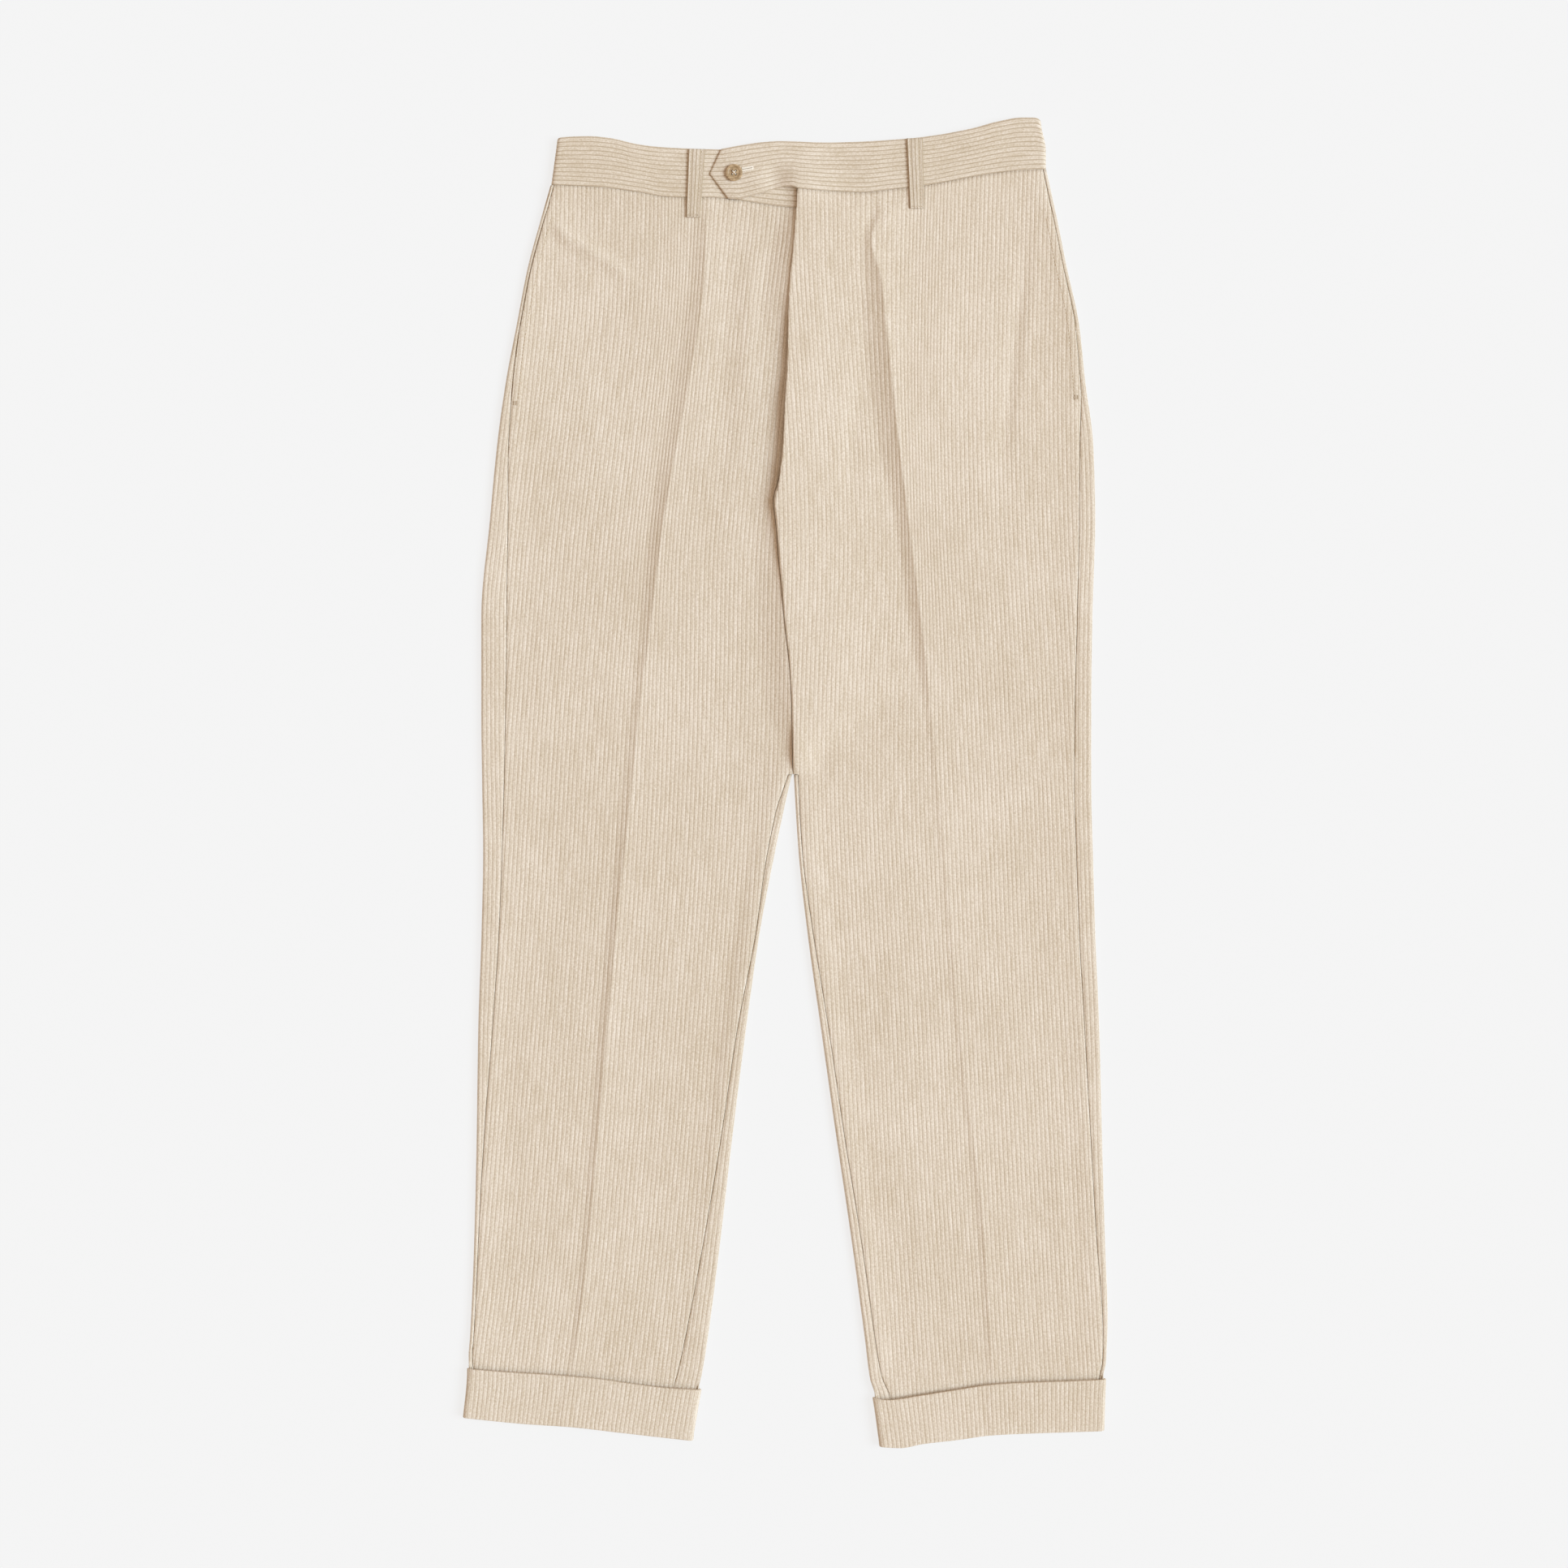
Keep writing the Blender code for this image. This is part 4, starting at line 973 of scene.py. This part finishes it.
def make_loop(half, loop, material):
    """A belt loop: a folded strip, grooved along its two stitched rows and across its foot."""
    width, foot_width = loop[4:]
    place, depth = strip_section(width, LOOP_CLOTH, np.linspace(0.9, width - 0.9, 17), 0.5, 0.5)
    along = np.concatenate((np.linspace(0.0, 0.93, 35), (0.945, 0.96, 0.972, 0.982, 0.991, 1.0)))
    along = along[:, None]
    taper = 1 + (foot_width / width - 1) * along
    x, y, z = loop_place(half, loop, along, (place - 0.5 * width) * taper)
    from_side = 0.5 * width - abs(place - 0.5 * width)
    profile = 0.16 * bump(from_side - 0.5 * width, 1.2)
    profile = profile - groove(from_side - LOOP_STITCH_IN, LOOP_GROOVE)
    from_foot = (1 - along) * (loop[1] - loop[3])
    profile = profile + 0.3 * smoothstep(5, 3, from_foot)
    profile = profile - groove(from_foot - LOOP_FOOT_STITCH_IN, LOOP_FOOT_GROOVE)
    z = z - depth + profile * (depth < FACE)
    # The cords are counted from 0.4 mm inside one edge to 0.4 mm inside the other, so a groove lies
    # along each edge and the loop material paints a dark shade line down both sides of the loop.
    across = LOOP_CORDS * (place - 0.4) / (width - 0.8)
    return rolled_cloth(f"{half.name}_belt_loop_cloth", x, y, z, across, -y / CORD_PITCH, material)


# ---- sewing

def grains(name, start, end, radius, material, flat=0.6):
    """Stitches from start to end points, each a small squashed ball drawn out along the seam.

    A grain is five rings of six points: its length times the ring's place, plus the radius times
    the ring's width round the seam's direction, flattened upwards.
    """
    count = len(start)
    along = end - start
    length = np.linalg.norm(along, axis=1, keepdims=True)
    ahead = along / length
    sideways = np.cross((0.0, 0.0, 1.0), ahead)
    sideways /= np.linalg.norm(sideways, axis=1, keepdims=True)
    upwards = np.cross(ahead, sideways)
    turn = np.radians(np.arange(0, 360, 60))
    rings = np.array([(-0.5, 0.0), (-0.4, 0.7), (0.0, 1.0), (0.4, 0.7), (0.5, 0.0)])
    lengthways = rings[:, :1] + 0 * turn
    aside = rings[:, 1:] * radius * np.cos(turn)
    over = rings[:, 1:] * radius * flat * np.sin(turn)
    middle = 0.5 * (start + end)
    along, sideways, upwards, middle = (part[:, None, None, :]
                                        for part in (along, sideways, upwards, middle))
    points = (lengthways[..., None] * along + aside[..., None] * sideways
              + over[..., None] * upwards + middle).reshape(-1, 3)
    size = lengthways.size
    faces = grid_faces(*lengthways.shape, closed_columns=True)
    faces = (faces[None] + size * np.arange(count)[:, None, None]).reshape(-1, 4)
    number = np.repeat(np.arange(count), size).astype(float)
    piece = put_mesh(name, points, [faces], number, 0 * number, material)
    return piece


def stitches(name, path, sizes, material):
    """A row of stitches spread evenly along a path: as many as their length and gap allow."""
    length, gap, radius = sizes
    step = np.linalg.norm(np.diff(path, axis=0), axis=1)
    travel = np.concatenate(((0,), np.cumsum(step)))
    count = max(int((travel[-1] + gap) / (length + gap)), 1)
    middle = (np.arange(count) + 0.5) * travel[-1] / count
    start, end = (np.stack([np.interp(spot, travel, column) for column in path.T], 1)
                  for spot in (middle - 0.5 * length, middle + 0.5 * length))
    return grains(name, start, end, radius, material)


def on_front(half, x, y, over=0.1):
    """Points on a front panel's outer surface."""
    return np.stack((x, y, half.height(x, y) + half.pocket_rise(x, y) + over), 1)


def sew(half, loop, tack, thread):
    """The seams that show on one half: pocket, bar tack, waist seam and belt loop."""
    y = np.linspace(POCKET_TOP - 4, POCKET_END + 4, 60)
    x = half.side_seam(y) + half.toward * POCKET_STITCH_IN
    stitches(f"{half.name}_pocket_stitches", on_front(half, x, y), POCKET_STITCH, thread)
    tack_x, tack_y = tack
    y = np.linspace(tack_y + 2.2, tack_y - 1.2, 9)
    x = np.where(np.arange(9) % 2, tack_x, tack_x + half.toward * 4.6)
    stitches(f"{half.name}_pocket_tack", on_front(half, x, y, 0.25), TACK_STITCH, TACK_THREAD)

    first = band_end(half, np.array(0.96)) + 2.5 if half.toward < 0 else 8
    last = band_side(half, 0.96) + half.toward * 2.5
    x = np.linspace(first, last, 120)
    y = half.waist(x) + 2
    path = np.stack((x, y, band_height(half, x, y) - 0.06), 1)
    stitches(f"{half.name}_waist_stitches", path, WAIST_STITCH, thread)

    width, foot_width = loop[4:]
    for side, word in ((-1, "outer"), (1, "inner")):
        along = np.linspace(0.02, 0.94, 40)
        taper = 1 + (foot_width / width - 1) * along
        across = side * half.toward * (0.5 * width - LOOP_STITCH_IN) * taper
        x, y, z = loop_place(half, loop, along, across)
        path = np.stack((x, y, z - 0.15), 1)
        stitches(f"{half.name}_belt_loop_{word}_stitches", path, LOOP_STITCH, thread)
    across = np.linspace(-0.42, 0.42, 8) * foot_width
    x, y, z = loop_place(half, loop, 1 - LOOP_FOOT_STITCH_IN / (loop[1] - loop[3]), across)
    path = np.stack((x, y, z - 0.05), 1)
    stitches(f"{half.name}_belt_loop_foot_stitches", path, LOOP_FOOT_STITCH, TACK_THREAD)


def make_buttonhole(thread):
    """The buttonhole: two rows of close stitches beside a slit, fanned out round its end.

    It comes out from under the button, so only its far half shows.
    """
    slit, reach, pitch, radius = 0.12, 1.9, 0.42, 0.42
    tilt = math.atan2(1.6, 10)
    step = np.arange(-8, 0.01, pitch)
    fan = np.radians(np.arange(-80, 81, 20))
    row = np.stack((step, 0 * step), 1)
    upper = (row + (0, slit), row + (0, reach))
    lower = (row - (0, slit), row - (0, reach))
    round_end = np.stack((np.cos(fan), np.sin(fan)), 1)
    ends = (round_end * 0.25, round_end * reach)
    start, end = (np.concatenate(parts) for parts in zip(upper, lower, ends))
    turned = np.array(((math.cos(tilt), math.sin(tilt)), (-math.sin(tilt), math.cos(tilt))))

    def placed(spots):
        spots = spots @ turned + BUTTONHOLE_END
        return np.column_stack((spots, band_height(LEFT, spots[:, 0], spots[:, 1]) + 0.4))

    grains("buttonhole_stitches", placed(start), placed(end), radius, thread, flat=0.7)


# ---- finishes

class Value:
    """A number that changes over a surface: arithmetic on it adds Math nodes to its material."""

    def __init__(self, finish, socket):
        self.finish = finish
        self.socket = socket

    def maths(self, operation, *others):
        values = dict(enumerate((self, *others)))
        return self.finish.value("ShaderNodeMath", {"operation": operation}, values)

    def __add__(self, other):
        return self.maths("ADD", other)

    __radd__ = __add__

    def __mul__(self, other):
        return self.maths("MULTIPLY", other)

    def __sub__(self, other):
        return self.maths("SUBTRACT", other)

    def __rsub__(self, other):
        return self.maths("MULTIPLY_ADD", -1, other)

    def __abs__(self):
        return self.maths("ABSOLUTE")

    def whole(self):
        return self.maths("FLOOR")

    def rest(self):
        return self.maths("FRACT")


class Finish:
    """A material and the one way in which its nodes are added."""

    def __init__(self, name, **shader_values):
        self.material = bpy.data.materials.new(name)
        self.material.use_nodes = True
        self.tree = self.material.node_tree
        self.shader = self.tree.nodes["Principled BSDF"]
        for socket, value in shader_values.items():
            self.shader.inputs[socket.replace("_", " ")].default_value = value

    def node(self, kind, settings=None, values=None):
        """A node of this kind: its settings first, then the values or links of its sockets."""
        node = self.tree.nodes.new(kind)
        for key, value in (settings or {}).items():
            setattr(node, key, value)
        for key, value in (values or {}).items():
            if isinstance(value, Value):
                self.tree.links.new(value.socket, node.inputs[key])
            else:
                node.inputs[key].default_value = value
        return node

    def value(self, kind, settings=None, values=None, output=0):
        return Value(self, self.node(kind, settings, values).outputs[output])

    def spot(self):
        """The point's own place on the object."""
        return self.value("ShaderNodeTexCoord", output=3)

    def step(self, value, low, high):
        """0 where value is low, 1 where it is high, and an S-curve between them."""
        return self.value("ShaderNodeMapRange", {"interpolation_type": "SMOOTHSTEP"},
                          {"Value": value, "From Min": low, "From Max": high})

    def noise(self, vector, scale, detail=2, roughness=0.5):
        values = {"Vector": vector, "Scale": scale, "Detail": detail, "Roughness": roughness}
        return self.value("ShaderNodeTexNoise", {"noise_dimensions": "3D"}, values)

    def mix(self, factor, first, second):
        return self.value("ShaderNodeMix", {"data_type": "RGBA"}, {0: factor, 6: first, 7: second},
                          output=2)

    def vector(self, x, y, z=0):
        return self.value("ShaderNodeCombineXYZ", None, {0: x, 1: y, 2: z})

    def drive(self, **sockets):
        for name, value in sockets.items():
            self.tree.links.new(value.socket, self.shader.inputs[name.replace("_", " ")])

    def relief(self, height, distance, strength):
        values = {"Height": height, "Distance": distance, "Strength": strength}
        self.drive(Normal=self.value("ShaderNodeBump", None, values))


def corded_cotton(name, tone, groove_shade_strength):
    """Sand-coloured corded cotton, on the piece's own place across and along the cords.

    Each groove is a thin line of painted shade, a browner tan mixed in at the strength the caller
    gives;
    each cord grows lighter and darker along its length, slubs run along the cords, and a fine twill
    covers them. Light yarns are pinker, dark ones yellower.
    """
    finish = Finish(name, Roughness=0.86, Sheen_Weight=0.12, Sheen_Roughness=0.6,
                    Specular_IOR_Level=0.25)
    place = finish.node("ShaderNodeAttribute", {"attribute_name": "cords"})
    parts = finish.node("ShaderNodeSeparateXYZ", None, {0: Value(finish, place.outputs["Vector"])})
    across, along = Value(finish, parts.outputs[0]), Value(finish, parts.outputs[1])
    sway = (finish.noise(finish.vector(across * 0.35, along * 0.12), 1) - 0.5) * 0.3
    wandering = across + sway
    groove = 1 - finish.step(0.5 - abs(wandering.rest() - 0.5), 0.02, 0.2)
    halfway = 1 - finish.step(abs(wandering.rest() - 0.52), 0, 0.12)
    yarn = finish.noise(finish.vector(wandering.whole() * 7.31, along * 0.08, 5), 1, 2, 0.6)
    slubs = finish.noise(finish.vector(across * 2.6, along * 0.2, 3), 1, 2, 0.6)
    slanted = finish.vector(across * 2.4 + along * 0.7, along * 1.4 - across * 1.1, 7)
    twill = finish.noise(slanted, 1)
    speckle = finish.noise(finish.vector(across * 3.6, along * 2.6, 11), 1, 3, 0.7)
    cloud = finish.noise(finish.spot(), 9)
    lightness = (0.5 + (yarn - 0.5) * 0.45 + (slubs - 0.5) * 0.7 + (twill - 0.5) * 0.9
                 + (speckle - 0.5) * 1.3 + (cloud - 0.5) * 0.35 - halfway * 0.1)
    # The last of these colours is not a yarn: it is painted shade for the grooves, darker and
    # browner than the cloth.
    dark_yarn, light_yarn, painted_groove_shade = (
        tuple(part * tone for part in colour) + (1.0,)
        for colour in ((0.625, 0.510, 0.370), (0.900, 0.800, 0.688), (0.465, 0.350, 0.222)))
    ridge = finish.mix(finish.step(lightness, 0, 1), dark_yarn, light_yarn)
    # Painted shade: the grooves' dark colour is mixed into the base colour along every groove.
    finish.drive(Base_Color=finish.mix(groove * groove_shade_strength, ridge, painted_groove_shade))
    finish.relief(twill * 0.5 + speckle * 0.4 - groove * 0.8 - halfway * 0.25, 0.00018, 0.7)
    return finish.material


def cotton_thread(name, light, dark):
    """Sewing thread: each stitch a little lighter or darker, with the strands' fine twist."""
    finish = Finish(name, Roughness=0.7, Sheen_Weight=0.2, Specular_IOR_Level=0.3)
    twist = finish.noise(finish.spot(), 2600)
    finish.drive(Base_Color=finish.mix(finish.step(twist, 0.3, 0.7), dark, light))
    finish.relief(twist, 0.0001, 0.5)
    return finish.material


def mottled_button(name):
    """The button: tan with cloudy streaks, satin and slightly duller where the streaks are dark."""
    finish = Finish(name, Specular_IOR_Level=0.45)
    spot = finish.spot()
    turned = finish.value("ShaderNodeMapping", {"vector_type": "POINT"},
                          {"Vector": spot, "Rotation": (0.0, 0.0, 0.6), "Scale": (1.0, 2.4, 1.0)})
    streaks = finish.noise(turned, 260, 4, 0.6)
    cloud = finish.noise(spot, 420)
    tone = finish.step(streaks * 0.7 + cloud * 0.3, 0.32, 0.68)
    brown, tan = (0.300, 0.195, 0.098, 1.0), (0.620, 0.450, 0.270, 1.0)
    finish.drive(Base_Color=finish.mix(tone, brown, tan), Roughness=0.46 - tone * 0.14)
    finish.relief(streaks, 0.00008, 0.3)
    return finish.material


# ---- the trousers

# The last number is how much shade is painted into the grooves. The belt loops get it in full, and
# their edges lie on grooves, so each loop is outlined with painted shade.
RIGHT_COTTON = corded_cotton("corded_cotton_right_half", 0.980, 0.36)
LEFT_COTTON = corded_cotton("corded_cotton_left_half", 0.990, 0.36)
BAND_COTTON = corded_cotton("corded_cotton_waistband", 0.985, 0.72)
LOOP_COTTON = corded_cotton("corded_cotton_belt_loops", 0.95, 1.0)
TACK_THREAD = cotton_thread("tack_thread", (0.68, 0.56, 0.42, 1.0), (0.50, 0.39, 0.28, 1.0))
SAND_THREAD = cotton_thread("sand_thread", (0.80, 0.68, 0.52, 1.0), (0.60, 0.48, 0.34, 1.0))
CREAM_THREAD = cotton_thread("cream_thread", (0.97, 0.91, 0.81, 1.0), (0.90, 0.81, 0.68, 1.0))


def declare(piece, node):
    """Hide the imported solid that a piece of cloth stands for."""
    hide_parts(node)


def dress(half, cotton, loop, tack):
    """All the cloth and sewing of one half."""
    side = half.name
    back, front = make_back(half, cotton), make_front(half, cotton)
    band, loop_strip = make_band(half, BAND_COTTON), make_loop(half, loop, LOOP_COTTON)
    declare(back, f"back_{side}")
    declare(front, f"front_{side}")
    declare(band, f"waistband_{side}")
    declare(make_cuff(half, cotton), f"cuff_{side}")
    declare(loop_strip, f"belt_loop_{side}")
    sew(half, loop, tack, SAND_THREAD)


dress(RIGHT, RIGHT_COTTON, LOOP_RIGHT, TACK_RIGHT)
dress(LEFT, LEFT_COTTON, LOOP_LEFT, TACK_LEFT)
make_buttonhole(CREAM_THREAD)

BUTTON_FINISH = mottled_button("mottled_button")
for node, material in (("button", BUTTON_FINISH), ("button_thread_low", CREAM_THREAD),
                       ("button_thread_high", CREAM_THREAD)):
    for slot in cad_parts[node].material_slots:
        slot.material = material


# ---- floor, light and camera

def lay_floor():
    """A plain pale table that glows, as a light table does, so shadows on it stay faint."""
    finish = Finish("pale_table", Base_Color=(0.12, 0.12, 0.12, 1.0), Roughness=1.0,
                    Specular_IOR_Level=0.0, Emission_Color=(1.0, 1.0, 1.0, 1.0),
                    Emission_Strength=0.79)
    mesh = bpy.data.meshes.new("floor")
    far, below = 25, -0.0005
    corners = [(-far, -far, below), (far, -far, below), (far, far, below), (-far, far, below)]
    mesh.from_pydata(corners, [], [(0, 1, 2, 3)])
    mesh.materials.append(finish.material)
    put_in_scene("floor", mesh)


def light_and_camera():
    """One wide soft lamp from the right, an even warmer sky, and a camera straight overhead."""
    scene = bpy.context.scene
    scene.view_settings.view_transform = "Standard"
    scene.view_settings.look = "None"
    lamp = bpy.data.lights.new("key", "SUN")
    lamp.energy = 3.03
    lamp.angle = math.radians(36)
    lamp.color = (0.70, 0.865, 1.0)
    azimuth, elevation = math.radians(-3), math.radians(44)
    put_in_scene("key", lamp).rotation_euler = (0.0, 0.5 * math.pi - elevation, azimuth)
    world = bpy.data.worlds.new("studio")
    world.use_nodes = True
    sky = world.node_tree.nodes["Background"].inputs
    sky["Color"].default_value = (1, 0.79, 0.62, 1)
    sky["Strength"].default_value = 0.54
    scene.world = world
    lens = bpy.data.cameras.new("camera")
    lens.lens = 80.85
    lens.sensor_width = 36
    lens.clip_end = 50
    scene.camera = put_in_scene("camera", lens)
    scene.camera.location = (-0.0010, -0.0011, 3)


lay_floor()
light_and_camera()
